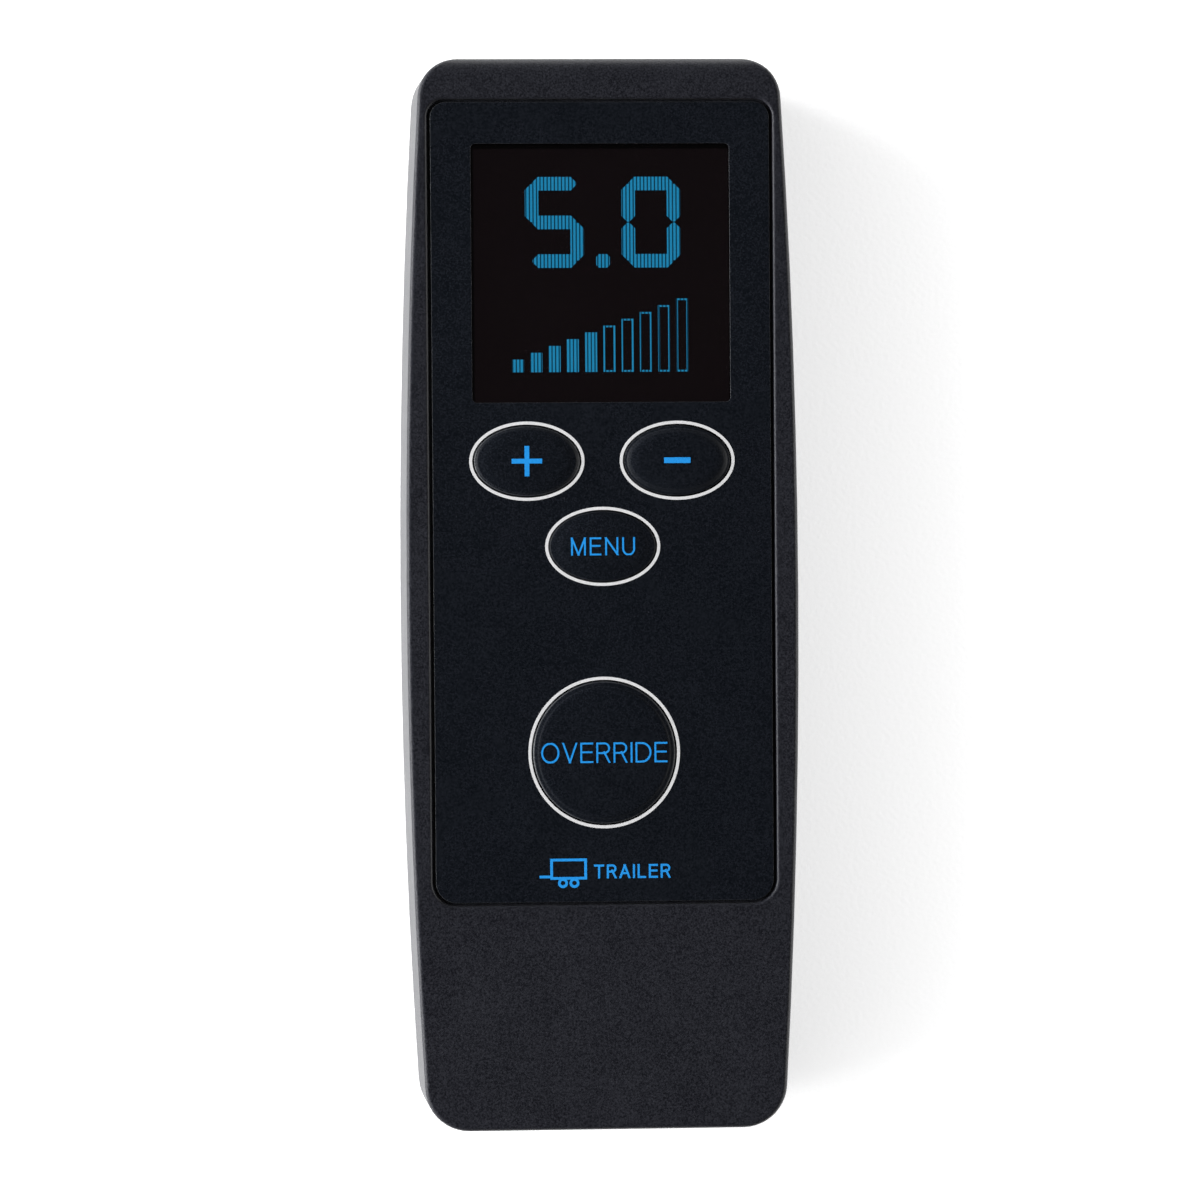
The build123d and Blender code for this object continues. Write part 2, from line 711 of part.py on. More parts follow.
with BuildPart() as radio_shield:
    with BuildSketch(Plane.XY.offset(radio_base - shield_height)):
        with Locations((0, radio_y - shield_shift)):
            RectangleRounded(shield_width, shield_length, 3 * shield_sheet)
    extrude(amount=shield_height)
    offset(amount=-shield_sheet, openings=radio_shield.faces().sort_by(Axis.Z)[-1])
save(radio_shield.part, "radio_shield")

# Controller chip with leads on four sides
with BuildPart() as microcontroller:
    chip_base = board_height - lead_thickness / 2 - chip_thickness
    with BuildSketch(Plane.XY.offset(chip_base)):
        with Locations((chip_x, chip_y)):
            Rectangle(chip_size, chip_size)
    extrude(amount=chip_thickness)
    chamfer(microcontroller.faces().sort_by(Axis.Z)[0].edges(), lead_thickness)
    with BuildSketch(Plane.XY.offset(board_height - lead_thickness)):
        with Locations((chip_x, chip_y)):
            with GridLocations(chip_size, lead_pitch, 2, lead_count):
                Rectangle(lead_length, lead_width)
            with GridLocations(lead_pitch, chip_size, lead_count, 2):
                Rectangle(lead_width, lead_length)
    extrude(amount=lead_thickness)
save(microcontroller.part, "microcontroller")

with BuildPart() as crystal:
    crystal_middle = (crystal_place[0], chip_y + crystal_place[1])
    with BuildSketch(Plane.XY.offset(board_height - crystal_height)):
        with Locations(crystal_middle):
            SlotOverall(crystal_length, crystal_width)
    extrude(amount=crystal_height)
    fillet(crystal.faces().sort_by(Axis.Z)[0].edges(), crystal_flange)
    with BuildSketch(Plane.XY.offset(board_height - crystal_flange)):
        with Locations(crystal_middle):
            SlotOverall(crystal_length + 2 * crystal_flange, crystal_width + 2 * crystal_flange)
    extrude(amount=crystal_flange)
save(crystal.part, "crystal")

with BuildPart() as power_inductor:
    inductor_middle = (inductor_place[0], chip_y + inductor_place[1])
    with BuildSketch(Plane.XY.offset(board_height - inductor_height)):
        with Locations(inductor_middle):
            RectangleRounded(inductor_size, inductor_size, inductor_corner)
    extrude(amount=inductor_height)
    # Ring groove round the core
    with BuildSketch(Plane.XY.offset(board_height - inductor_height)):
        with Locations(inductor_middle):
            Circle(inductor_size * 0.42)
            Circle(inductor_size * 0.34, mode=Mode.SUBTRACT)
    extrude(amount=inductor_height / 6, mode=Mode.SUBTRACT)
save(power_inductor.part, "power_inductor")

with BuildPart() as capacitors:
    capacitor_middles = [(x, chip_y + y) for x, y in capacitor_places]
    can_base = board_height - capacitor_height
    extrude(discs(capacitor_middles, can_base, capacitor_diameter), amount=capacitor_height)
    fillet(capacitors.faces().group_by(Axis.Z)[0].edges(), capacitor_base - capacitor_diameter)
    with BuildSketch(Plane.XY.offset(board_height - capacitor_base_height)):
        with Locations(*capacitor_middles):
            Rectangle(capacitor_base, capacitor_base)
    extrude(amount=capacitor_base_height)
save(capacitors.part, "capacitors")

# Two cells side by side, one each way round: x, flat end and the way that the nub points
cells = {
    "cell_left": (-cell_x, well_top - contact_thickness - cell_length, 1),
    "cell_right": (cell_x, well_bottom + contact_thickness + cell_length, -1),
}
for node, (x, flat_end, way) in cells.items():
    shoulder = cell_shoulder / 2
    can_length = cell_length - cell_nub_length
    with BuildPart() as cell:
        with BuildSketch(Plane.XY.offset(cell_axis)):
            with Locations((x, flat_end)):
                with BuildLine():
                    Polyline(
                        (x, flat_end),
                        (x + cell_diameter / 2 - cell_shoulder, flat_end),
                        (x + cell_diameter / 2, flat_end + way * shoulder),
                        (x + cell_diameter / 2, flat_end + way * (can_length - shoulder)),
                        (x + cell_diameter / 2 - cell_shoulder, flat_end + way * can_length),
                        (x + cell_nub_diameter / 2, flat_end + way * can_length),
                        (x + cell_nub_diameter / 2, flat_end + way * (cell_length - cell_nub_edge)),
                        (x + cell_nub_diameter / 2 - cell_nub_edge, flat_end + way * cell_length),
                        (x, flat_end + way * cell_length),
                        close=True,
                    )
            make_face()
        revolve(axis=Axis((x, flat_end, cell_axis), (0, 1, 0)))
    save(cell.part, node)

# Battery contacts: two terminals at the inner end, a strip across the outer end, two springs
for node, x in (("positive_terminal", -cell_x), ("negative_terminal", cell_x)):
    plate_y = well_top - contact_thickness
    with BuildPart() as terminal:
        with BuildSketch(Plane.XZ.offset(-plate_y)):
            with Locations((x, cell_axis)):
                RectangleRounded(contact_size, contact_size, contact_corner)
                Rectangle(tab_width, board_height - cell_axis, align=(Align.CENTER, Align.MIN))
        extrude(amount=-contact_thickness)
        with BuildSketch(Plane.XY.offset(board_height - contact_thickness)):
            with Locations((x, plate_y)):
                tab_length = board_lower_edge + tab_reach - plate_y
                Rectangle(tab_width, tab_length, align=(Align.CENTER, Align.MIN))
        extrude(amount=contact_thickness)
    save(terminal.part, node)

with BuildPart() as series_strip:
    with BuildSketch(Plane.XZ.offset(-well_bottom)):
        with Locations((0, cell_axis)):
            RectangleRounded(2 * cell_x + contact_size, contact_size, contact_corner)
    extrude(amount=-contact_thickness)
save(series_strip.part, "series_strip")

save(contact_spring(cell_x, well_top - contact_thickness, -1), "negative_spring")
save(contact_spring(-cell_x, well_bottom + contact_thickness, 1), "series_spring")
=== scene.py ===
import math

import bmesh
import bpy
from mathutils import Matrix, Vector


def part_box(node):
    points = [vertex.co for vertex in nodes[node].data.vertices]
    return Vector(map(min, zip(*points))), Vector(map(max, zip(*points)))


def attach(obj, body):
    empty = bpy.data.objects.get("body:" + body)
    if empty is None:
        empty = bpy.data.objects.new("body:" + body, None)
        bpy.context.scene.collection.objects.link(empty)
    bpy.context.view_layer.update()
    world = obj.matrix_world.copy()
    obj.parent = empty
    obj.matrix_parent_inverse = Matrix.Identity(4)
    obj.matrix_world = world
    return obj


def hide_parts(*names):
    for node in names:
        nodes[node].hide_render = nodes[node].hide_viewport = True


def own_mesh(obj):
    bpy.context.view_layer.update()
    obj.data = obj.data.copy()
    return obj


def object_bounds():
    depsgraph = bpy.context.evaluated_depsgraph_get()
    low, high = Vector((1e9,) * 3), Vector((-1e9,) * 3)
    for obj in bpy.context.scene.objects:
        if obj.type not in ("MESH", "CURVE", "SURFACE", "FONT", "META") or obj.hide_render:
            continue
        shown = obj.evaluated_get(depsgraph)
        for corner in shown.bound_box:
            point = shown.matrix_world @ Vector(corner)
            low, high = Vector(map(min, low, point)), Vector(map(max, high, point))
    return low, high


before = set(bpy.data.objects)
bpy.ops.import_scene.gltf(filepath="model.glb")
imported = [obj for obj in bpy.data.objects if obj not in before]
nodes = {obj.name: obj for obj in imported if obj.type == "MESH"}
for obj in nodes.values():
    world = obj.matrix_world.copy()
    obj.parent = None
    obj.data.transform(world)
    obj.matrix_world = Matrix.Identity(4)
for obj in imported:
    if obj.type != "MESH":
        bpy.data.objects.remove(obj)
bpy.context.view_layer.update()
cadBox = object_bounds()
mm = 0.001


def middle(node):
    # a carried-over part's middle and its size
    low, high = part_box(node)
    return (low + high) / 2, high - low


def addNode(tree, kind, values=None, **settings):
    node = tree.nodes.new("ShaderNode" + kind)
    for setting, value in settings.items():
        setattr(node, setting, value)
    for socket, value in (values or {}).items():
        node.inputs[socket].default_value = value
    return node


def objectPlace(tree):
    return addNode(tree, "TexCoord").outputs["Object"]


def addPattern(tree, place, kind, values=None, **settings):
    # a node that reads the place it is given
    node = addNode(tree, kind, values, **settings)
    tree.links.new(place, node.inputs["Vector"])
    return node


def mathNode(tree, operation, first, second=None, clamp=False):
    # each side is a socket or a number
    node = addNode(tree, "Math", operation=operation, use_clamp=clamp)
    for index, side in enumerate((first, second)):
        if side is None:
            continue
        if isinstance(side, (int, float)):
            node.inputs[index].default_value = side
        else:
            tree.links.new(side, node.inputs[index])
    return node.outputs[0]


def spread(tree, socket, low, high, newLow=0.0, newHigh=1.0):
    # low..high becomes newLow..newHigh, and nothing goes past them
    node = addNode(tree, "MapRange", {"From Min": low, "From Max": high,
                                      "To Min": newLow, "To Max": newHigh})
    tree.links.new(socket, node.inputs["Value"])
    return node.outputs["Result"]


def blendColours(tree, mask, first, second):
    # each side is a socket or a colour
    node = addNode(tree, "Mix", data_type="RGBA")
    tree.links.new(mask, node.inputs["Factor"])
    for name, side in (("A", first), ("B", second)):
        socket = [s for s in node.inputs if s.name == name and s.type == "RGBA"][0]
        if isinstance(side, tuple):
            socket.default_value = (*side, 1.0)
        else:
            tree.links.new(side, socket)
    return [s for s in node.outputs if s.type == "RGBA"][0]


def startGroup(name, inputs, outputs):
    group = bpy.data.node_groups.new(name, "ShaderNodeTree")
    for label, value in inputs.items():
        socket = group.interface.new_socket(label, in_out="INPUT", socket_type="NodeSocketFloat")
        socket.default_value = value
    for label, kind in outputs.items():
        group.interface.new_socket(label, in_out="OUTPUT", socket_type="NodeSocket" + kind)
    ends = group.nodes.new("NodeGroupInput"), group.nodes.new("NodeGroupOutput")
    return group, ends[0].outputs, ends[1].inputs


def useGroup(tree, group, values):
    node = tree.nodes.new("ShaderNodeGroup")
    node.node_tree = group
    for label, value in values.items():
        node.inputs[label].default_value = value
    return node.outputs


grainMix = {"pitDetail": 2.0, "pitRoughness": 0.6, "cellHeight": 0.5, "cloudScale": 190.0,
            "cloudDetail": 3.0, "cloudShare": 0.12, "shadeEdges": (0.36, 0.66)}


def makeMouldGrain():
    # spark-eroded texture of a moulded surface
    look = grainMix
    group, given, made = startGroup("mouldGrain", {"Scale": 5000.0},
                                    {"Height": "Float", "Shade": "Float"})
    place = objectPlace(group)
    pits = addPattern(group, place, "TexNoise",
                      {"Detail": look["pitDetail"], "Roughness": look["pitRoughness"]})
    cells = addPattern(group, place, "TexVoronoi", feature="SMOOTH_F1")
    clouds = addPattern(group, place, "TexNoise",
                        {"Scale": look["cloudScale"], "Detail": look["cloudDetail"]})
    for texture in (pits, cells):
        group.links.new(given["Scale"], texture.inputs["Scale"])
    raised = mathNode(group, "MULTIPLY", cells.outputs["Distance"], look["cellHeight"])
    group.links.new(mathNode(group, "ADD", pits.outputs["Fac"], raised), made["Height"])
    fine = mathNode(group, "MULTIPLY", pits.outputs["Fac"], 1 - look["cloudShare"])
    broad = mathNode(group, "MULTIPLY", clouds.outputs["Fac"], look["cloudShare"])
    shade = spread(group, mathNode(group, "ADD", fine, broad), *look["shadeEdges"])
    group.links.new(shade, made["Shade"])
    return group


speckEdges = (0.10, 0.26)  # a speck is whole inside the first and gone past the second


def makeSpecks():
    # bright grains and settled dust, one here and there
    group, given, made = startGroup("fineSpecks", {"Scale": 1500.0, "Share": 0.1},
                                    {"Mask": "Float"})
    dots = addPattern(group, objectPlace(group), "TexVoronoi", feature="F1")
    group.links.new(given["Scale"], dots.inputs["Scale"])
    split = addNode(group, "SeparateColor")
    group.links.new(dots.outputs["Color"], split.inputs["Color"])
    chosen = mathNode(group, "LESS_THAN", split.outputs["Red"], given["Share"])
    core = spread(group, dots.outputs["Distance"], *speckEdges, 1.0, 0.0)
    uneven = mathNode(group, "MULTIPLY", core, split.outputs["Green"])
    group.links.new(mathNode(group, "MULTIPLY", chosen, uneven, clamp=True), made["Mask"])
    return group


markShape = {"scale": 60.0, "smearDetail": 4.0, "smearRoughness": 0.55,
             "smearWander": 0.6, "smearEdges": (0.42, 0.72), "hairTurn": (0.0, 0.0, 0.6),
             "hairScale": (90.0, 4200.0, 900.0), "hairEdges": (0.66, 0.80), "hairShare": 0.5}


def makeHandling():
    # faint smears and hairlines left by fingers and pockets
    look = markShape
    group, given, made = startGroup("handlingMarks", {"Scale": look["scale"]}, {"Mask": "Float"})
    place = objectPlace(group)
    smears = addPattern(group, place, "TexNoise",
                        {"Detail": look["smearDetail"], "Roughness": look["smearRoughness"],
                         "Distortion": look["smearWander"]})
    group.links.new(given["Scale"], smears.inputs["Scale"])
    turn = addPattern(group, place, "Mapping",
                      {"Rotation": look["hairTurn"], "Scale": look["hairScale"]})
    hairs = addPattern(group, turn.outputs["Vector"], "TexNoise", {"Scale": 1.0, "Detail": 1.0})
    fine = mathNode(group, "MULTIPLY", spread(group, hairs.outputs["Fac"], *look["hairEdges"]),
                    look["hairShare"])
    both = mathNode(group, "ADD", spread(group, smears.outputs["Fac"], *look["smearEdges"]), fine)
    group.links.new(mathNode(group, "MINIMUM", both, 1.0), made["Mask"])
    return group


edgeShape = {"samples": 6, "turned": (0.99, 0.80)}  # how far the surface turns, as a cosine


def makeSoftEdge():
    # the tiny radius on a cut or moulded edge, and a mask where it is
    group, given, made = startGroup("softEdge", {"Radius": 0.0001},
                                    {"Normal": "Vector", "Mask": "Float"})
    rounded = addNode(group, "Bevel", samples=edgeShape["samples"])
    group.links.new(given["Radius"], rounded.inputs["Radius"])
    flat = addNode(group, "NewGeometry").outputs["True Normal"]
    match = addNode(group, "VectorMath", operation="DOT_PRODUCT")
    group.links.new(rounded.outputs["Normal"], match.inputs[0])
    group.links.new(flat, match.inputs[1])
    group.links.new(rounded.outputs["Normal"], made["Normal"])
    group.links.new(spread(group, match.outputs["Value"], *edgeShape["turned"]), made["Mask"])
    return group


mouldGrain = makeMouldGrain()
fineSpecks = makeSpecks()
handlingMarks = makeHandling()
softEdge = makeSoftEdge()
print("shared effects made")


def startFinish(name, **sockets):
    material = bpy.data.materials.new(name)
    material.use_nodes = True
    tree = material.node_tree
    shader = tree.nodes["Principled BSDF"]
    for label, value in sockets.items():
        socket = shader.inputs[label.replace("_", " ")]
        socket.default_value = (*value, 1.0) if isinstance(value, tuple) else value
    return material, tree, shader


def addBump(tree, shader, height, strength, distance, normal=None):
    bump = addNode(tree, "Bump", {"Strength": strength, "Distance": distance})
    tree.links.new(height, bump.inputs["Height"])
    if normal is not None:
        tree.links.new(normal, bump.inputs["Normal"])
    tree.links.new(bump.outputs["Normal"], shader.inputs["Normal"])


plainGloss = 0.5  # where a look gives none


def grainedFinish(name, look):
    # moulded, coated or printed surface: grain, specks, marks of handling and soft edges, with a
    # painted highlight lightening the edges where a look asks for one
    material, tree, shader = startFinish(name, Specular_IOR_Level=look.get("gloss", plainGloss))
    grain = useGroup(tree, mouldGrain, {"Scale": look["grain"]})
    colour = blendColours(tree, grain["Shade"], look["dark"], look["light"])
    if "speckShare" in look:
        dots = useGroup(tree, fineSpecks,
                        {"Scale": look["speckScale"], "Share": look["speckShare"]})
        amount = mathNode(tree, "MULTIPLY", dots["Mask"], look["speckStrength"])
        colour = blendColours(tree, amount, colour, look["speckColour"])
    edge = useGroup(tree, softEdge, {"Radius": look["edge"]})
    # painted highlight: the colour is lightened where the soft edge turns the surface
    if "edgeHighlightColour" in look:
        amount = mathNode(tree, "MULTIPLY", edge["Mask"], look["edgeHighlightAmount"])
        colour = blendColours(tree, amount, colour, look["edgeHighlightColour"])
    tree.links.new(colour, shader.inputs["Base Color"])
    marks = useGroup(tree, handlingMarks, {"Scale": markShape["scale"]})
    rough = spread(tree, marks["Mask"], 0.0, 1.0,
                   look["rough"], look["rough"] + look["roughChange"])
    tree.links.new(rough, shader.inputs["Roughness"])
    addBump(tree, shader, grain["Height"], look["bump"], look["bumpDepth"], edge["Normal"])
    return material


# the case look's edge colour and amount paint a highlight along its soft edges and recess lips
caseLook = {"dark": (0.0062, 0.0066, 0.0096), "light": (0.0290, 0.0300, 0.0376),
            "grain": 4600.0, "speckScale": 3300.0, "speckShare": 0.16, "speckStrength": 0.55,
            "speckColour": (0.075, 0.075, 0.085), "edge": 0.00016,
            "edgeHighlightColour": (0.080, 0.082, 0.092), "edgeHighlightAmount": 0.6, "rough": 0.34,
            "roughChange": -0.03, "bump": 0.75, "bumpDepth": 0.00004, "gloss": 0.42}
# the film look's edge colour and amount paint a highlight along the film's cut edges
filmLook = {"dark": (0.0026, 0.0038, 0.0060), "light": (0.0110, 0.0130, 0.0180),
            "grain": 4200.0, "speckScale": 2300.0, "speckShare": 0.05, "speckStrength": 0.35,
            "speckColour": (0.05, 0.05, 0.06), "edge": 0.00008,
            "edgeHighlightColour": (0.090, 0.094, 0.104), "edgeHighlightAmount": 0.8, "rough": 0.26,
            "roughChange": 0.03, "bump": 0.28, "bumpDepth": 0.00002, "gloss": 0.40}
inkBody = {"grain": 5200.0, "edge": 0.00001, "rough": 0.5, "roughChange": 0.1, "bump": 0.15,
           "bumpDepth": 0.00001}
whiteInkLook = {**inkBody, "dark": (0.70, 0.70, 0.71), "light": (0.84, 0.84, 0.85)}
blueInkLook = {**inkBody, "dark": (0.012, 0.280, 0.760), "light": (0.018, 0.340, 0.900)}
trayLook = {"dark": (0.045, 0.045, 0.048), "light": (0.06, 0.06, 0.064), "grain": 3800.0,
            "edge": 0.00015, "rough": 0.5, "roughChange": 0.1, "bump": 0.3, "bumpDepth": 0.00003}
socketLook = {"dark": (0.62, 0.58, 0.47), "light": (0.74, 0.70, 0.60), "grain": 2600.0,
              "edge": 0.00012, "rough": 0.42, "roughChange": 0.1, "bump": 0.2,
              "bumpDepth": 0.00002}
chipLook = {"dark": (0.013, 0.013, 0.014), "light": (0.026, 0.026, 0.027), "grain": 9000.0,
            "edge": 0.00012, "rough": 0.6, "roughChange": 0.1, "bump": 0.4, "bumpDepth": 0.00002}
adhesiveLook = {"dark": (0.035, 0.035, 0.035), "light": (0.07, 0.07, 0.068), "grain": 1400.0,
                "edge": 0.00005, "rough": 0.7, "roughChange": 0.1, "bump": 0.3,
                "bumpDepth": 0.00003}
foamLook = {"pores": 2600.0, "dark": (0.014, 0.014, 0.014), "light": (0.055, 0.055, 0.055),
            "rough": 0.92, "bump": 0.8, "bumpDepth": 0.0001}


def foamFinish(look):
    # closed cells, cut through at the faces
    material, tree, shader = startFinish("cellFoam", Roughness=look["rough"])
    pores = addPattern(tree, objectPlace(tree), "TexVoronoi", {"Scale": look["pores"]},
                       feature="F1").outputs["Distance"]
    # painted shade: each cut cell is darker towards its middle, where the pore is deepest
    tree.links.new(blendColours(tree, pores, look["dark"], look["light"]),
                   shader.inputs["Base Color"])
    addBump(tree, shader, pores, look["bump"], look["bumpDepth"])
    return material


metalBody = {"marks": 240.0, "lineDetail": 3.0, "lineEdges": (0.3, 0.7), "roughChange": 0.12,
             "bump": 0.3, "bumpDepth": 0.000015}
steelLook = {**metalBody, "dark": (0.50, 0.50, 0.49), "light": (0.68, 0.68, 0.66),
             "dull": (0.40, 0.38, 0.34), "tarnish": 0.3, "lines": (400.0, 12000.0, 4000.0),
             "rough": 0.24, "edge": 0.00005}
tinLook = {**metalBody, "dark": (0.58, 0.59, 0.60), "light": (0.72, 0.73, 0.74),
           "dull": (0.50, 0.49, 0.46), "tarnish": 0.4, "lines": (9000.0, 500.0, 4000.0),
           "rough": 0.30, "edge": 0.0001}
nickelLook = {**metalBody, "dark": (0.60, 0.59, 0.55), "light": (0.78, 0.77, 0.74),
              "dull": (0.46, 0.42, 0.35), "tarnish": 0.35, "lines": (6000.0, 500.0, 6000.0),
              "rough": 0.20, "edge": 0.00008}
zincLook = {**metalBody, "dark": (0.045, 0.045, 0.050), "light": (0.085, 0.085, 0.092),
            "dull": (0.16, 0.15, 0.14), "tarnish": 0.5, "lines": (5000.0, 5000.0, 900.0),
            "rough": 0.34, "edge": 0.0001}


def metalFinish(name, look):
    # drawn or rolled metal: fine lines along the roll, marks of handling, tarnish
    material, tree, shader = startFinish(name, Metallic=1.0)
    turn = addPattern(tree, objectPlace(tree), "Mapping", {"Scale": look["lines"]})
    lines = addPattern(tree, turn.outputs["Vector"], "TexNoise",
                       {"Scale": 1.0, "Detail": look["lineDetail"]}).outputs["Fac"]
    marks = useGroup(tree, handlingMarks, {"Scale": look["marks"]})
    tarnish = mathNode(tree, "MULTIPLY", marks["Mask"], look["tarnish"])
    colour = blendColours(tree, lines, look["dark"], look["light"])
    colour = blendColours(tree, tarnish, colour, look["dull"])
    tree.links.new(colour, shader.inputs["Base Color"])
    rough = spread(tree, lines, *look["lineEdges"],
                   look["rough"], look["rough"] + look["roughChange"])
    tree.links.new(rough, shader.inputs["Roughness"])
    edge = useGroup(tree, softEdge, {"Radius": look["edge"]})
    addBump(tree, shader, lines, look["bump"], look["bumpDepth"], edge["Normal"])
    return material


boardLook = {"mask": ((0.010, 0.085, 0.038), (0.016, 0.120, 0.055)), "weave": 900.0,
             "overCopper": (0.045, 0.23, 0.10), "overCopperAmount": 0.7, "tracks": 260.0,
             "trackEdges": (0.4, 0.6), "tinned": (0.62, 0.60, 0.55), "pads": 330.0,
             "padEdges": (0.17, 0.14), "padMetal": 0.9, "rough": (0.38, 0.25),
             "bump": 0.4, "bumpDepth": 0.00003}


def boardFinish(look):
    # green solder mask over copper tracks, with tinned pads
    material, tree, shader = startFinish("solderMask", Coat_Weight=0.25, Coat_Roughness=0.15)
    place = objectPlace(tree)
    tracks = addPattern(tree, place, "TexBrick",
                        {"Scale": look["tracks"], "Mortar Size": 0.07, "Mortar Smooth": 0.1,
                         "Brick Width": 1.7, "Row Height": 0.28}, offset=0.37)
    pads = addPattern(tree, place, "TexVoronoi", {"Scale": look["pads"], "Randomness": 0.55},
                      feature="F1")
    weave = addPattern(tree, place, "TexNoise", {"Scale": look["weave"], "Detail": 2.0})
    copper = spread(tree, tracks.outputs["Fac"], *look["trackEdges"])
    pad = spread(tree, pads.outputs["Distance"], *look["padEdges"])
    colour = blendColours(tree, weave.outputs["Fac"], *look["mask"])
    colour = blendColours(tree, mathNode(tree, "MULTIPLY", copper, look["overCopperAmount"]),
                          colour, look["overCopper"])
    colour = blendColours(tree, pad, colour, look["tinned"])
    tree.links.new(colour, shader.inputs["Base Color"])
    tree.links.new(spread(tree, pad, 0.0, 1.0, *look["rough"]), shader.inputs["Roughness"])
    tree.links.new(mathNode(tree, "MULTIPLY", pad, look["padMetal"]), shader.inputs["Metallic"])
    addBump(tree, shader, mathNode(tree, "ADD", copper, pad), look["bump"], look["bumpDepth"])
    return material


filmBody = {"cloud": 700.0, "cloudEdges": (0.3, 0.7), "rough": (0.28, 0.4),
            "trackEdges": (0.62, 0.72), "bump": 0.3, "bumpDepth": 0.00003}
clearLook = {**filmBody, "dark": (0.66, 0.67, 0.64), "light": (0.76, 0.77, 0.74),
             "track": (0.48, 0.48, 0.47), "tracks": 90.0, "wander": 1.5}
flexLook = {**filmBody, "dark": (0.36, 0.16, 0.03), "light": (0.46, 0.22, 0.05),
            "track": (0.62, 0.34, 0.13), "tracks": 320.0, "wander": 0.0}


def trackedFilm(name, look):
    # plastic film with printed or etched tracks running along it
    material, tree, shader = startFinish(name, Coat_Weight=0.3, Coat_Roughness=0.2)
    place = objectPlace(tree)
    tracks = addPattern(tree, place, "TexWave", {"Scale": look["tracks"],
                                                 "Distortion": look["wander"], "Detail": 0.0},
                        wave_type="BANDS", bands_direction="X")
    cloud = addPattern(tree, place, "TexNoise", {"Scale": look["cloud"], "Detail": 2.0})
    track = spread(tree, tracks.outputs["Fac"], *look["trackEdges"])
    colour = blendColours(tree, cloud.outputs["Fac"], look["dark"], look["light"])
    tree.links.new(blendColours(tree, track, colour, look["track"]), shader.inputs["Base Color"])
    tree.links.new(spread(tree, cloud.outputs["Fac"], *look["cloudEdges"], *look["rough"]),
                   shader.inputs["Roughness"])
    addBump(tree, shader, track, look["bump"], look["bumpDepth"])
    return material


cellLook = {"sleeve": ((0.030, 0.034, 0.042), (0.060, 0.066, 0.080)),
            "band": ((0.42, 0.26, 0.11), (0.62, 0.42, 0.20)), "bandFrom": (-21.5 * mm, -21.0 * mm),
            "metal": (0.1, 0.85), "flakes": 5200.0, "flakeEdges": (0.3, 0.7),
            "rough": (0.26, 0.36)}


def cellFinish(look):
    # glossy printed sleeve with a metallic shoulder band
    material, tree, shader = startFinish("cellSleeve", Coat_Weight=0.6, Coat_Roughness=0.08)
    place = objectPlace(tree)
    along = addPattern(tree, place, "SeparateXYZ").outputs["Y"]
    shoulder = spread(tree, along, *look["bandFrom"])
    flakes = addPattern(tree, place, "TexNoise",
                        {"Scale": look["flakes"], "Detail": 1.0}).outputs["Fac"]
    sleeve = blendColours(tree, flakes, *look["sleeve"])
    band = blendColours(tree, flakes, *look["band"])
    tree.links.new(blendColours(tree, shoulder, sleeve, band), shader.inputs["Base Color"])
    tree.links.new(spread(tree, shoulder, 0.0, 1.0, *look["metal"]), shader.inputs["Metallic"])
    tree.links.new(spread(tree, flakes, *look["flakeEdges"], *look["rough"]),
                   shader.inputs["Roughness"])
    return material


lensLook = {"tint": ((0.50, 0.46, 0.48), (0.54, 0.50, 0.52)), "haze": 45.0,
            "hazeEdges": (0.45, 0.75), "rough": (0.012, 0.035)}


def lensFinish(look):
    # polished smoke-tinted window
    material, tree, shader = startFinish("smokeLens", Transmission_Weight=1.0, IOR=1.49)
    haze = addPattern(tree, objectPlace(tree), "TexNoise",
                      {"Scale": look["haze"], "Detail": 4.0}).outputs["Fac"]
    tree.links.new(spread(tree, haze, *look["hazeEdges"], *look["rough"]),
                   shader.inputs["Roughness"])
    tree.links.new(blendColours(tree, haze, *look["tint"]), shader.inputs["Base Color"])
    return material


# the glow is painted light on a panel that is switched off
panelLook = {"glow": (0.0088, 0.0060, 0.0068), "black": (0.0012, 0.0009, 0.0010),
             "glass": ((0.0060, 0.0042, 0.0048), (0.0030, 0.0022, 0.0026)), "rough": 0.12,
             "perMm": 1000.0, "cell": 0.21, "cellLine": 0.03, "lineGlow": 0.75,
             "shadowMargin": 0.22 * mm, "fade": (1.35 * mm, 1.15 * mm)}


def panelFinish(look):
    # unlit display: black glass, its picture area given a faint painted glow in fine rows of cells,
    # set off right and down so a painted shadow of the window's edge lies along its left and top
    material, tree, shader = startFinish("displayPanel", Roughness=look["rough"],
                                         Emission_Strength=1.0)
    place = objectPlace(tree)
    rows = addPattern(tree, place, "TexBrick",
                      {"Scale": look["perMm"], "Mortar Size": look["cellLine"],
                       "Brick Width": look["cell"], "Row Height": look["cell"]},
                      offset=0.0).outputs["Fac"]
    tree.links.new(blendColours(tree, rows, *look["glass"]), shader.inputs["Base Color"])
    split = addPattern(tree, place, "SeparateXYZ")
    window, size = middle("display_lens")
    # painted shadow: the glowing area is shrunk and its middle moved right and down by a margin, so
    # its left and top stay dark
    reach = size.x / 2 - look["shadowMargin"]
    whole, gone = (reach - inset for inset in look["fade"])
    inside = []
    for axis, centre in (("X", window.x + look["shadowMargin"]), ("Y", window.y - look["shadowMargin"])):
        away = mathNode(tree, "ABSOLUTE", mathNode(tree, "SUBTRACT", split.outputs[axis], centre))
        inside.append(spread(tree, away, whole, gone, 1.0, 0.0))
    shown = mathNode(tree, "MULTIPLY", mathNode(tree, "MULTIPLY", *inside),
                     spread(tree, rows, 0.0, 1.0, 1.0, look["lineGlow"]))
    # painted glow: the unlit panel is made to glow faintly inside the window
    tree.links.new(blendColours(tree, shown, look["black"], look["glow"]),
                   shader.inputs["Emission Color"])
    return material


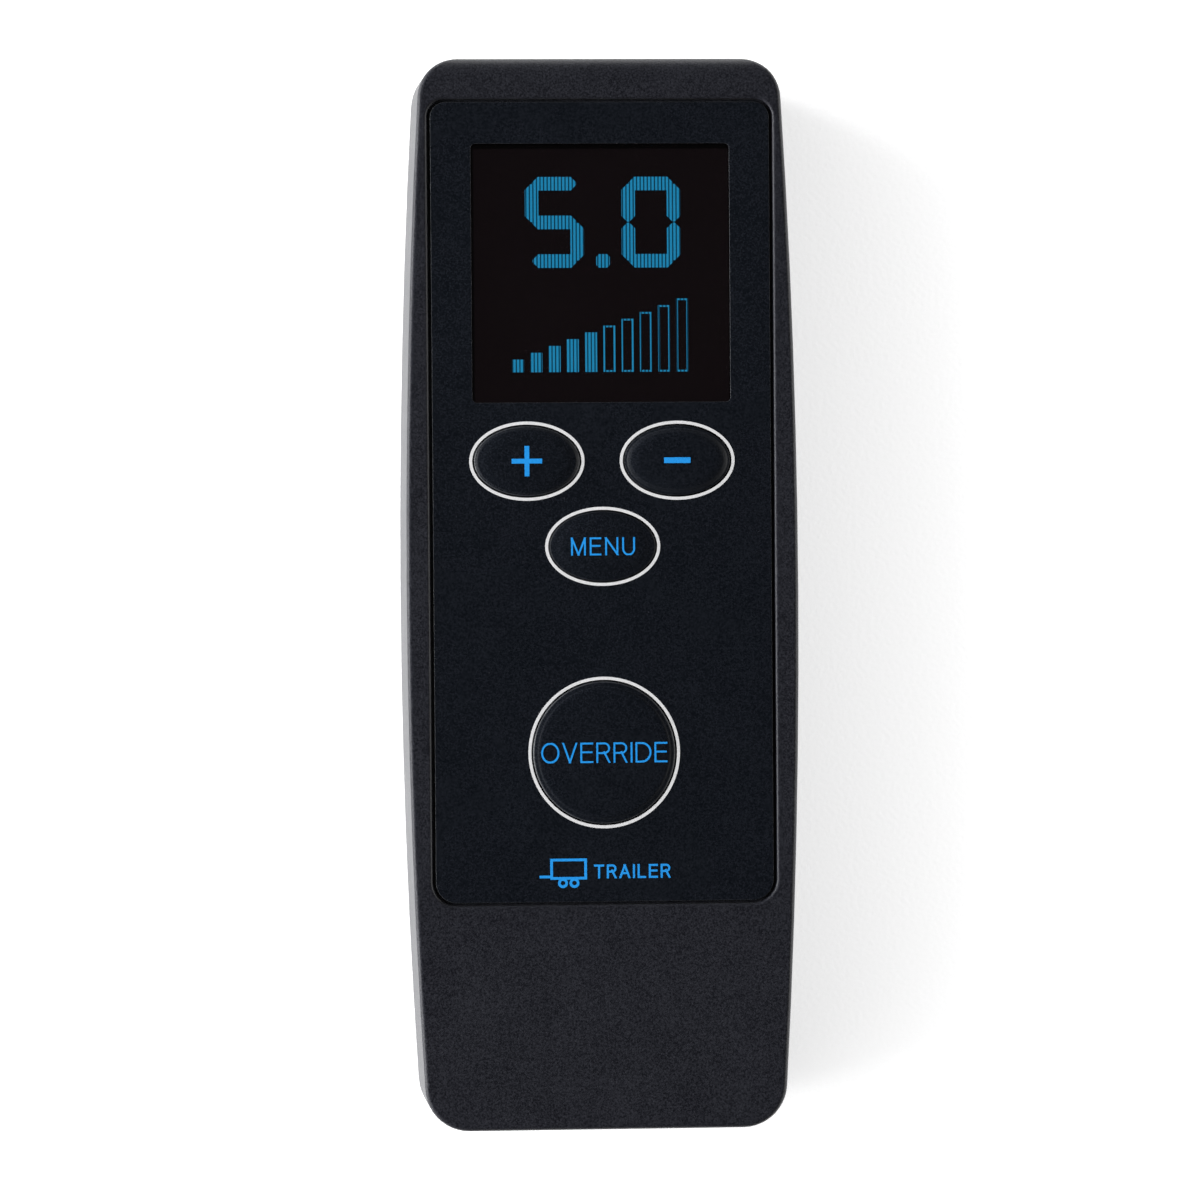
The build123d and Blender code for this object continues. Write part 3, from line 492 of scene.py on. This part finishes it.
litLook = {"lit": (0.012, 0.235, 0.430), "dim": (0.002, 0.030, 0.055), "strength": 2.0,
           "glass": ((0.004, 0.006, 0.008), (0.006, 0.02, 0.03)), "rough": 0.4,
           "stripe": 0.45 * mm, "dark": 0.27, "fade": 0.08, "rowLine": 0.2, "rowShade": 0.86}


def litFinish(look):
    # lit cells of the display, with the dark columns between them
    material, tree, shader = startFinish("litDisplay", Roughness=look["rough"],
                                         Emission_Strength=look["strength"])
    split = addPattern(tree, objectPlace(tree), "SeparateXYZ")
    column, row = (mathNode(tree, "FRACT", mathNode(tree, "MULTIPLY", split.outputs[axis],
                                                    1.0 / look["stripe"])) for axis in "XY")
    halfDark = 0.5 * look["dark"]
    lit = spread(tree, mathNode(tree, "ABSOLUTE", mathNode(tree, "SUBTRACT", column, 0.5)),
                 halfDark, halfDark + look["fade"])
    shade = spread(tree, row, 0.0, look["rowLine"], look["rowShade"], 1.0)
    glow = mathNode(tree, "MULTIPLY", lit, shade)
    tree.links.new(blendColours(tree, glow, look["dim"], look["lit"]),
                   shader.inputs["Emission Color"])
    tree.links.new(blendColours(tree, glow, *look["glass"]), shader.inputs["Base Color"])
    return material


finishes = {
    "case": grainedFinish("casePlastic", caseLook),
    "overlay_film": grainedFinish("overlayFilm", filmLook),
    "tray": grainedFinish("trayPlastic", trayLook),
    "socket": grainedFinish("ivoryNylon", socketLook),
    "chip": grainedFinish("chipEpoxy", chipLook),
    "adhesive": grainedFinish("adhesiveSheet", adhesiveLook),
    "foam": foamFinish(foamLook),
    "dome_steel": metalFinish("springSteel", steelLook),
    "tin_plate": metalFinish("tinPlate", tinLook),
    "contact": metalFinish("nickelPlate", nickelLook),
    "screw": metalFinish("blackZinc", zincLook),
    "board": boardFinish(boardLook),
    "clear_film": trackedFilm("polyesterFilm", clearLook),
    "flex": trackedFilm("amberFlex", flexLook),
    "cell": cellFinish(cellLook),
    "lens": lensFinish(lensLook),
    "display_glass": panelFinish(panelLook)}
whiteInk = grainedFinish("whiteInk", whiteInkLook)
blueInk = grainedFinish("blueInk", blueInkLook)
litDisplay = litFinish(litLook)

for node in nodes.values():
    for slot in node.material_slots:
        slot.material = finishes[slot.material.name]
print("finishes made and given to the carried-over parts")


def keepPiece(name, bm, finish, smooth=True):
    mesh = bpy.data.meshes.new(name)
    bm.to_mesh(mesh)
    bm.free()
    for face in mesh.polygons:
        face.use_smooth = smooth
    mesh.materials.append(finish)
    piece = bpy.data.objects.new(name, mesh)
    bpy.context.scene.collection.objects.link(piece)
    return piece


def thicken(bm, rise):
    # a flat print gets its ink's thickness, upward, with its bottom left closed
    bmesh.ops.recalc_face_normals(bm, faces=bm.faces)
    flat = list(bm.faces)
    raised = bmesh.ops.extrude_face_region(bm, geom=flat, use_keep_orig=True)
    lifted = [v for v in raised["geom"] if isinstance(v, bmesh.types.BMVert)]
    bmesh.ops.translate(bm, verts=lifted, vec=(0, 0, rise))
    bmesh.ops.recalc_face_normals(bm, faces=bm.faces)


def addOval(bm, width, length, centre, segments=128):
    made = bmesh.ops.create_circle(bm, cap_ends=False, radius=0.5, segments=segments)["verts"]
    bmesh.ops.scale(bm, verts=made, vec=(width, length, 1))
    bmesh.ops.translate(bm, verts=made, vec=centre)
    return list(dict.fromkeys(edge for v in made for edge in v.link_edges))


def addBand(bm, outer, line, centre, segments=128):
    # flat ring, outer is (width, length)
    rims = addOval(bm, *outer, centre, segments)
    rims += addOval(bm, outer[0] - 2 * line, outer[1] - 2 * line, centre, segments)
    bmesh.ops.bridge_loops(bm, edges=rims)


def addBar(bm, width, length, centre, corner=0.0):
    # flat rectangle, its corners cut off where a corner is given
    made = bmesh.ops.create_grid(bm, x_segments=1, y_segments=1, size=0.5)["verts"]
    bmesh.ops.scale(bm, verts=made, vec=(width, length, 1))
    bmesh.ops.translate(bm, verts=made, vec=centre)
    if corner:
        bmesh.ops.bevel(bm, geom=made, offset=corner, affect="VERTICES", segments=1,
                        profile=0.5, material=-1)


# rim: how far in from the key's outline, and how high over the film, both in mm
keySkin = {"flange": 0.35 * mm, "sunk": 0.01, "turnUp": 0.02 * mm, "lift": 0.006, "keep": 0.2,
           "rim": ((0.10, 0.02), (0.30, 0.07), (0.60, 0.14), (0.95, 0.195), (1.4, 0.23),
                   (1.9, 0.245), (2.6, 0.25))}
inkPrint = {"ink": 0.022 * mm, "sink": 0.004 * mm, "ringLine": 0.38 * mm,
            "ringBeyondKey": 0.6 * mm}
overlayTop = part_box("graphic_overlay")[1].z


def buildKeySkin(key):
    # the film's own bulge over a key: one skin from the flat of the overlay to the key's top
    place, size = middle(key)
    look = keySkin
    bm = bmesh.new()
    flange = look["flange"]
    rim = addOval(bm, size.x + 2 * flange, size.y + 2 * flange,
                  (place.x, place.y, overlayTop - look["sunk"] * mm))
    sheet = bmesh.ops.contextual_create(bm, geom=rim)["faces"]
    steps = [(-flange, -look["sunk"]), (-flange + look["turnUp"], look["lift"]),
             (0.0, look["lift"])]
    steps += [(inset * mm, rise) for inset, rise in look["rim"]]
    before = steps[0]
    for step in steps[1:]:
        raised = bmesh.ops.extrude_face_region(bm, geom=sheet)["geom"]
        sheet = [f for f in raised if isinstance(f, bmesh.types.BMFace)]
        lifted = [v for v in raised if isinstance(v, bmesh.types.BMVert)]
        across = (size.x - 2 * step[0]) / (size.x - 2 * before[0])
        along = (size.y - 2 * step[0]) / (size.y - 2 * before[0])
        bmesh.ops.scale(bm, verts=lifted, vec=(across, along, 1),
                        space=Matrix.Translation((-place.x, -place.y, 0)))
        bmesh.ops.translate(bm, verts=lifted, vec=(0, 0, (step[1] - before[1]) * mm))
        before = step
    bmesh.ops.poke(bm, faces=sheet)
    bmesh.ops.recalc_face_normals(bm, faces=bm.faces)
    skin = keepPiece(key.replace("_key", "_skin"), bm, finishes["overlay_film"])
    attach(skin, "case")
    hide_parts(key)
    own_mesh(skin)
    return place, size


def buildRing(name, place, size):
    bm = bmesh.new()
    beyond = inkPrint["ringBeyondKey"]
    addBand(bm, (size.x + 2 * beyond, size.y + 2 * beyond), inkPrint["ringLine"],
            (place.x, place.y, overlayTop))
    thicken(bm, inkPrint["ink"])
    ring = keepPiece(name, bm, whiteInk, smooth=False)
    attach(ring, "case")


# plain letters as strokes on a unit cap height: each line is its two ends, each arc is its middle,
# its two radii and the degrees it runs from and to; "wide" is the letter's width
letters = {
    "A": {"wide": 0.74, "lines": [((0, 0), (0.37, 1)), ((0.37, 1), (0.74, 0)),
                                  ((0.13, 0.34), (0.61, 0.34))]},
    "D": {"wide": 0.76, "lines": [((0, 0), (0, 1)), ((0, 0), (0.30, 0)), ((0, 1), (0.30, 1))],
          "arcs": [((0.30, 0.5), (0.46, 0.5), -90, 90)]},
    "E": {"wide": 0.60, "lines": [((0, 0), (0, 1)), ((0, 0), (0.60, 0)),
                                  ((0, 0.53), (0.56, 0.53)), ((0, 1), (0.60, 1))]},
    "I": {"wide": 0.0, "lines": [((0, 0), (0, 1))]},
    "L": {"wide": 0.54, "lines": [((0, 0), (0, 1)), ((0, 0), (0.54, 0))]},
    "M": {"wide": 0.80, "lines": [((0, 0), (0, 1)), ((0, 1), (0.40, 0)), ((0.40, 0), (0.80, 1)),
                                  ((0.80, 0), (0.80, 1))]},
    "N": {"wide": 0.70, "lines": [((0, 0), (0, 1)), ((0, 1), (0.70, 0)), ((0.70, 0), (0.70, 1))]},
    "O": {"wide": 0.88, "arcs": [((0.44, 0.5), (0.44, 0.51), 0, 360)]},
    "R": {"wide": 0.66, "lines": [((0, 0), (0, 1)), ((0, 1), (0.38, 1)), ((0, 0.48), (0.38, 0.48)),
                                  ((0.40, 0.48), (0.64, 0))],
          "arcs": [((0.38, 0.74), (0.26, 0.26), -90, 90)]},
    "T": {"wide": 0.68, "lines": [((0, 1), (0.68, 1)), ((0.34, 0), (0.34, 1))]},
    "U": {"wide": 0.68, "lines": [((0, 0.34), (0, 1)), ((0.68, 0.34), (0.68, 1))],
          "arcs": [((0.34, 0.34), (0.34, 0.36), 180, 360)]},
    "V": {"wide": 0.70, "lines": [((0, 1), (0.35, 0)), ((0.35, 0), (0.70, 1))]}}
# strokes that cross lie a hair above each other, so no two faces are in one plane
stacking = {"rise": 0.0004 * mm, "levels": 7}
arcSteps = {"degrees": 6, "fewest": 8}


def addLine(bm, start, end, line):
    start, end = Vector((*start, 0)), Vector((*end, 0))
    run = end - start
    made = bmesh.ops.create_grid(bm, x_segments=1, y_segments=1, size=0.5)["verts"]
    bmesh.ops.scale(bm, verts=made, vec=(run.length, line, 1))
    bmesh.ops.rotate(bm, verts=made, matrix=Matrix.Rotation(math.atan2(run.y, run.x), 3, "Z"))
    bmesh.ops.translate(bm, verts=made, vec=(start + end) / 2)
    return made


def addArc(bm, centre, radii, first, last, line):
    width, height = radii
    ends = [bm.verts.new((width + side * line / 2, 0, 0)) for side in (-1, 1)]
    edge = bm.edges.new(ends)
    bmesh.ops.rotate(bm, verts=ends, matrix=Matrix.Rotation(math.radians(first), 3, "Z"))
    before = set(bm.verts) - set(ends)
    steps = max(arcSteps["fewest"], int((last - first) / arcSteps["degrees"]))
    bmesh.ops.spin(bm, geom=[*ends, edge], cent=(0, 0, 0), axis=(0, 0, 1),
                   angle=math.radians(last - first), steps=steps,
                   use_merge=last - first == 360, use_normal_flip=False)
    made = list(set(bm.verts) - before)
    bmesh.ops.scale(bm, verts=made, vec=(1, height / width, 1))
    bmesh.ops.translate(bm, verts=made, vec=(*centre, 0))
    return made


def addStroke(bm, letter, start, end, stroke):
    # a level stroke ends square, half its width past its ends, but not where an arc goes on;
    # the others run long and are cut level with the line of letters afterwards
    hasArc = "arcs" in letters[letter]
    if start.y == end.y:
        start = start - Vector((stroke / 2, 0))
        end = end + Vector((0 if hasArc else stroke / 2, 0))
    else:
        reach = (end - start).normalized() * stroke
        start, end = (start if letter == "U" else start - reach), end + reach
    return addLine(bm, start, end, stroke)


def wordMesh(word, width, height, stroke, centre):
    # a line of letters, width x height over its strokes, in strokes of one width
    bm = bmesh.new()
    caps = height - stroke
    letterWidths = sum(letters[letter]["wide"] for letter in word) * caps
    gap = (width - stroke - letterWidths) / (len(word) - 1)
    x, strokes = 0.0, 0
    for letter in word:
        shape = letters[letter]
        made = [addStroke(bm, letter, *(Vector((x + px * caps, py * caps)) for px, py in line),
                          stroke) for line in shape.get("lines", ())]
        for (px, py), radii, first, last in shape.get("arcs", ()):
            made.append(addArc(bm, (x + px * caps, py * caps), [radius * caps for radius in radii],
                               first, last, stroke))
        for verts in made:
            strokes += 1
            level = strokes % stacking["levels"]
            bmesh.ops.translate(bm, verts=verts, vec=(0, 0, level * stacking["rise"]))
        x += shape["wide"] * caps + gap
    for edge, side in ((-stroke / 2, -1), (caps + stroke / 2, 1)):
        bmesh.ops.bisect_plane(bm, geom=[*bm.verts, *bm.edges, *bm.faces], plane_co=(0, edge, 0),
                               plane_no=(0, side, 0), clear_outer=True, dist=1e-9)
    low = min(v.co.x for v in bm.verts), min(v.co.y for v in bm.verts)
    high = max(v.co.x for v in bm.verts), max(v.co.y for v in bm.verts)
    bmesh.ops.translate(bm, verts=bm.verts, vec=(centre[0] - (low[0] + high[0]) / 2,
                                                 centre[1] - (low[1] + high[1]) / 2, centre[2]))
    return bm


legends = {"plus": {"reach": 3.8 * mm, "line": 0.60 * mm},
           "minus": {"reach": 3.3 * mm, "line": 0.72 * mm},
           "menu": {"word": "MENU", "size": (8.0 * mm, 2.25 * mm), "line": 0.23 * mm},
           "override": {"word": "OVERRIDE", "size": (15.8 * mm, 2.55 * mm), "line": 0.23 * mm}}


def legendMesh(label, top):
    look = legends[label]
    if "word" in look:
        return wordMesh(look["word"], *look["size"], look["line"], top)
    bm = bmesh.new()
    if label == "minus":
        addBar(bm, look["reach"], look["line"], top)
        return bm
    addBar(bm, look["line"], look["line"], top)
    for edge in list(bm.edges):
        away = ((edge.verts[0].co + edge.verts[1].co) / 2 - top).normalized()
        arm = bmesh.ops.extrude_edge_only(bm, edges=[edge])["geom"]
        bmesh.ops.translate(bm, verts=[v for v in arm if isinstance(v, bmesh.types.BMVert)],
                            vec=away * (look["reach"] - look["line"]) / 2)
    return bm


def printOnKey(name, bm):
    thicken(bm, inkPrint["ink"] + inkPrint["sink"])
    legend = keepPiece(name, bm, blueInk, smooth=False)
    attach(legend, "case")
    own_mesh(legend)


for label in legends:
    place, size = buildKeySkin(label + "_key")
    buildRing(label + "_ring", place, size)
    top = Vector((place.x, place.y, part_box(label + "_key")[1].z - inkPrint["sink"]))
    printOnKey(label + "_legend", legendMesh(label, top))
print("keys, rings and legends made")


trailerMark = {"centre": (0.0, -34.6 * mm), "word": "TRAILER", "wordWidth": 9.6 * mm,
               "wordHeight": 1.75 * mm, "stroke": 0.26 * mm, "between": 0.9 * mm,
               "bodyWidth": 4.6 * mm, "bodyHeight": 2.3 * mm, "line": 0.34 * mm,
               "wheel": 1.25 * mm, "wheelFromMiddle": 0.72 * mm, "wheelBelowBody": 0.25 * mm,
               "wheelOver": 0.001 * mm, "wheelSegments": 40, "drawbar": 1.35 * mm,
               "drawbarRise": 1.6}  # the rise is in line widths


def buildTrailerMark():
    look = trailerMark
    x, y = look["centre"]
    width, height, line, bar = (look[key] for key in ("bodyWidth", "bodyHeight", "line", "drawbar"))
    total = width + bar + look["between"] + look["wordWidth"]
    bodyX = x - total / 2 + bar + width / 2
    wordX = x + total / 2 - look["wordWidth"] / 2
    bm = wordMesh(look["word"], look["wordWidth"], look["wordHeight"], look["stroke"],
                  (wordX, y, overlayTop))
    wheelY = y - height / 2 - look["wheelBelowBody"]
    for side in (-1, 1):
        addBar(bm, width, line, (bodyX, y + line + side * height / 2, overlayTop))
        addBar(bm, line, height - line, (bodyX + side * (width - line) / 2, y + line, overlayTop))
        addBand(bm, (look["wheel"], look["wheel"]), line,
                (bodyX + side * look["wheelFromMiddle"], wheelY, overlayTop + look["wheelOver"]),
                look["wheelSegments"])
    addBar(bm, bar, line, (bodyX - (width + bar) / 2,
                           y - height / 2 + line * look["drawbarRise"], overlayTop))
    thicken(bm, inkPrint["ink"])
    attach(keepPiece("trailer_mark", bm, blueInk, smooth=False), "case")


buildTrailerMark()


readout = {"text": "5.0", "figureHeight": 11.4 * mm, "figureWidth": 7.4 * mm,
           "figureGap": 2.2 * mm, "segment": 1.7 * mm, "segmentGap": 0.12 * mm,
           "segmentCorner": 0.42, "dotCorner": 0.2, "figuresFromMiddle": 6.6 * mm, "bars": 10,
           "litBars": 5, "barWidth": 1.5 * mm, "barPitch": 2.3 * mm, "lowestBar": 1.6 * mm,
           "highestBar": 9.2 * mm, "barsFromMiddle": -12.2 * mm, "outline": 0.22 * mm,
           "thickness": 0.02 * mm}  # the corners are in segment widths
segmentsOf = {"0": "abcdef", "5": "acdfg"}


def addFigure(bm, figure, x, y, z):
    look = readout
    half, line, wide = look["figureHeight"] / 2, look["segment"], look["figureWidth"]
    corner = look["segmentCorner"] * line
    level = {"a": 1, "g": 0, "d": -1}
    for segment in segmentsOf[figure]:
        if segment in level:
            addBar(bm, wide - line - look["segmentGap"], line,
                   (x, y + level[segment] * (half - line / 2), z), corner)
        else:
            side = 1 if segment in "bc" else -1
            rise = 1 if segment in "bf" else -1
            addBar(bm, line, half - line / 2 - look["segmentGap"],
                   (x + side * (wide - line) / 2, y + rise * (half - line / 2) / 2, z), corner)


def addLevelBar(bm, tall, lit, x, foot, z):
    # a lit bar is solid, an unlit one is an outline
    width, line = readout["barWidth"], readout["outline"]
    if lit:
        addBar(bm, width, tall, (x, foot + tall / 2, z))
        return
    for side in (-1, 1):
        addBar(bm, width, line, (x, foot + tall / 2 + side * (tall - line) / 2, z))
        addBar(bm, line, tall - 2 * line, (x + side * (width - line) / 2, foot + tall / 2, z))


def buildReadout():
    look = readout
    window, _ = middle("display_lens")
    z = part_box("display_panel")[1].z
    bm = bmesh.new()
    pitch = look["figureWidth"] + look["figureGap"]
    dot = look["segment"]
    y = window.y + look["figuresFromMiddle"]
    addFigure(bm, look["text"][0], window.x - pitch / 2 - dot / 2, y, z)
    addFigure(bm, look["text"][2], window.x + pitch / 2 + dot, y, z)
    addBar(bm, dot, dot, (window.x + dot / 4, y - look["figureHeight"] / 2 + dot / 2, z),
           look["dotCorner"] * dot)
    last = look["bars"] - 1
    for bar in range(look["bars"]):
        tall = look["lowestBar"] + bar / last * (look["highestBar"] - look["lowestBar"])
        addLevelBar(bm, tall, bar < look["litBars"], window.x + (bar - last / 2) * look["barPitch"],
                    window.y + look["barsFromMiddle"], z)
    thicken(bm, look["thickness"])
    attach(keepPiece("display_readout", bm, litDisplay, smooth=False), "case")


buildReadout()
print("mark and display picture made")


cloth = {"size": 3.0, "gapUnder": 0.05 * mm, "left": (0.52, 0.52, 0.525),
         "right": (0.93, 0.93, 0.935), "glow": (0.85, 0.63), "glowEdges": (-0.05, 0.022),
         "shadowLiftFar": 0.84, "shadowLiftEdges": (0.024, 0.052), "threads": 1600.0, "rough": 0.9,
         "bump": 0.25, "bumpDepth": 0.0003, "hollow": 0.08, "hollowColour": (0.40, 0.40, 0.40)}
softboxes = {"high": {"at": (-1.10, 0.22, 0.62), "wide": 0.75, "tall": 0.75, "power": 8.0},
             "low": {"at": (-0.90, 0.06, 0.19), "wide": 0.90, "tall": 0.34, "power": 17.0}}
tent = {"walls": (("X", -1, 6.2), ("X", 1, 3.0), ("Y", 1, 0.22)), "narrow": 5.0,
        "around": 0.03, "zenith": 0.02, "fade": (0.55, 0.86)}
cameraPlace = {"target": (0.11, -0.78, 12.0), "distance": 0.42, "acrossLean": -2.43,
               "alongLean": 0.83, "roll": -0.43, "lens": 97.9, "sensor": 36.0, "nearest": 0.01}


def clothFinish(look):
    # pale cloth, darker on the left, with a painted glow: stronger on the left, and raised again
    # further right to lift and shorten the unit's shadow
    material, tree, shader = startFinish("paleCloth", Roughness=look["rough"],
                                         Emission_Strength=1.0)
    place = objectPlace(tree)
    threads = addPattern(tree, place, "TexNoise",
                         {"Scale": look["threads"], "Detail": 2.0}).outputs["Fac"]
    addBump(tree, shader, threads, look["bump"], look["bumpDepth"])
    across = addPattern(tree, place, "SeparateXYZ").outputs["X"]
    right = spread(tree, across, *look["glowEdges"])
    colour = blendColours(tree, right, look["left"], look["right"])
    # painted shade: the cloth is darkened where the thread pattern is low, in the hollows of the
    # weave
    hollows = spread(tree, threads, 0.0, 1.0, look["hollow"], 0.0)
    tree.links.new(blendColours(tree, hollows, colour, look["hollowColour"]),
                   shader.inputs["Base Color"])
    # painted light: the floor glows more on the left than on the right
    glow = blendColours(tree, right, *((level,) * 3 for level in look["glow"]))
    # painted light: the floor's glow rises again past the unit's right side, shortening its shadow
    beyond = spread(tree, across, *look["shadowLiftEdges"])
    tree.links.new(blendColours(tree, beyond, glow, (look["shadowLiftFar"],) * 3),
                   shader.inputs["Emission Color"])
    # seen from underneath, the floor isn't there, so the back of the unit can be looked at
    clear = addNode(tree, "BsdfTransparent")
    choose = addNode(tree, "MixShader")
    tree.links.new(addNode(tree, "NewGeometry").outputs["Backfacing"], choose.inputs["Fac"])
    tree.links.new(shader.outputs["BSDF"], choose.inputs[1])
    tree.links.new(clear.outputs["BSDF"], choose.inputs[2])
    tree.links.new(choose.outputs["Shader"], tree.nodes["Material Output"].inputs["Surface"])
    return material


def layFloor():
    bm = bmesh.new()
    bmesh.ops.create_grid(bm, x_segments=1, y_segments=1, size=cloth["size"])
    mesh = bpy.data.meshes.new("floor")
    bm.to_mesh(mesh)
    bm.free()
    mesh.materials.append(clothFinish(cloth))
    floor = bpy.data.objects.new("floor", mesh)
    bpy.context.scene.collection.objects.link(floor)
    floor.location.z = cadBox[0].z - cloth["gapUnder"]


def hangSoftboxes():
    # both face the unit, and neither shows as a reflection in it
    for name, look in softboxes.items():
        lamp = bpy.data.lights.new(name, "AREA")
        lamp.shape = "RECTANGLE"
        lamp.size, lamp.size_y = look["wide"], look["tall"]
        lamp.energy = look["power"]
        holder = bpy.data.objects.new(name, lamp)
        holder.location = look["at"]
        holder.rotation_euler = (-Vector(look["at"])).to_track_quat("-Z", "Y").to_euler()
        holder.visible_glossy = False
        bpy.context.scene.collection.objects.link(holder)


def pitchTent():
    # a light tent: bright walls left and right, a dim one at the top end, dark overhead
    world = bpy.data.worlds.new("studioSky")
    world.use_nodes = True
    sky = world.node_tree
    split = addNode(sky, "SeparateXYZ")
    sky.links.new(addNode(sky, "TexCoord").outputs["Generated"], split.inputs["Vector"])
    walls = tent["around"]
    for axis, side, strength in tent["walls"]:
        toward = mathNode(sky, "MULTIPLY", split.outputs[axis], side)
        facing = mathNode(sky, "POWER", mathNode(sky, "MAXIMUM", toward, 0.0), tent["narrow"])
        walls = mathNode(sky, "ADD", mathNode(sky, "MULTIPLY", facing, strength), walls)
    lowDown = spread(sky, split.outputs["Z"], *tent["fade"], 1.0, 0.0)
    glow = mathNode(sky, "ADD", mathNode(sky, "MULTIPLY", walls, lowDown), tent["zenith"])
    sky.links.new(glow, sky.nodes["Background"].inputs["Strength"])
    sky.nodes["Background"].inputs["Color"].default_value = (1, 1, 1, 1)
    bpy.context.scene.world = world
    bpy.context.scene.view_settings.view_transform = "Standard"


def placeCamera():
    look = cameraPlace
    lens = bpy.data.cameras.new("camera")
    lens.lens = look["lens"]
    lens.sensor_width = look["sensor"]
    lens.clip_start = look["nearest"]
    camera = bpy.data.objects.new("camera", lens)
    bpy.context.scene.collection.objects.link(camera)
    x, y = (math.sin(math.radians(look[key])) for key in ("acrossLean", "alongLean"))
    back = Vector((x, y, math.sqrt(1 - x * x - y * y)))
    right = Vector((0, 1, 0)).cross(back).normalized()
    right = Matrix.Rotation(math.radians(look["roll"]), 3, back) @ right
    up = back.cross(right)
    stand = Vector(look["target"]) * mm + back * look["distance"]
    turn = Matrix((right, up, back)).transposed().to_4x4()
    camera.matrix_world = Matrix.Translation(stand) @ turn
    bpy.context.scene.camera = camera


layFloor()
hangSoftboxes()
pitchTent()
placeCamera()
print("studio made")

bpy.context.view_layer.update()
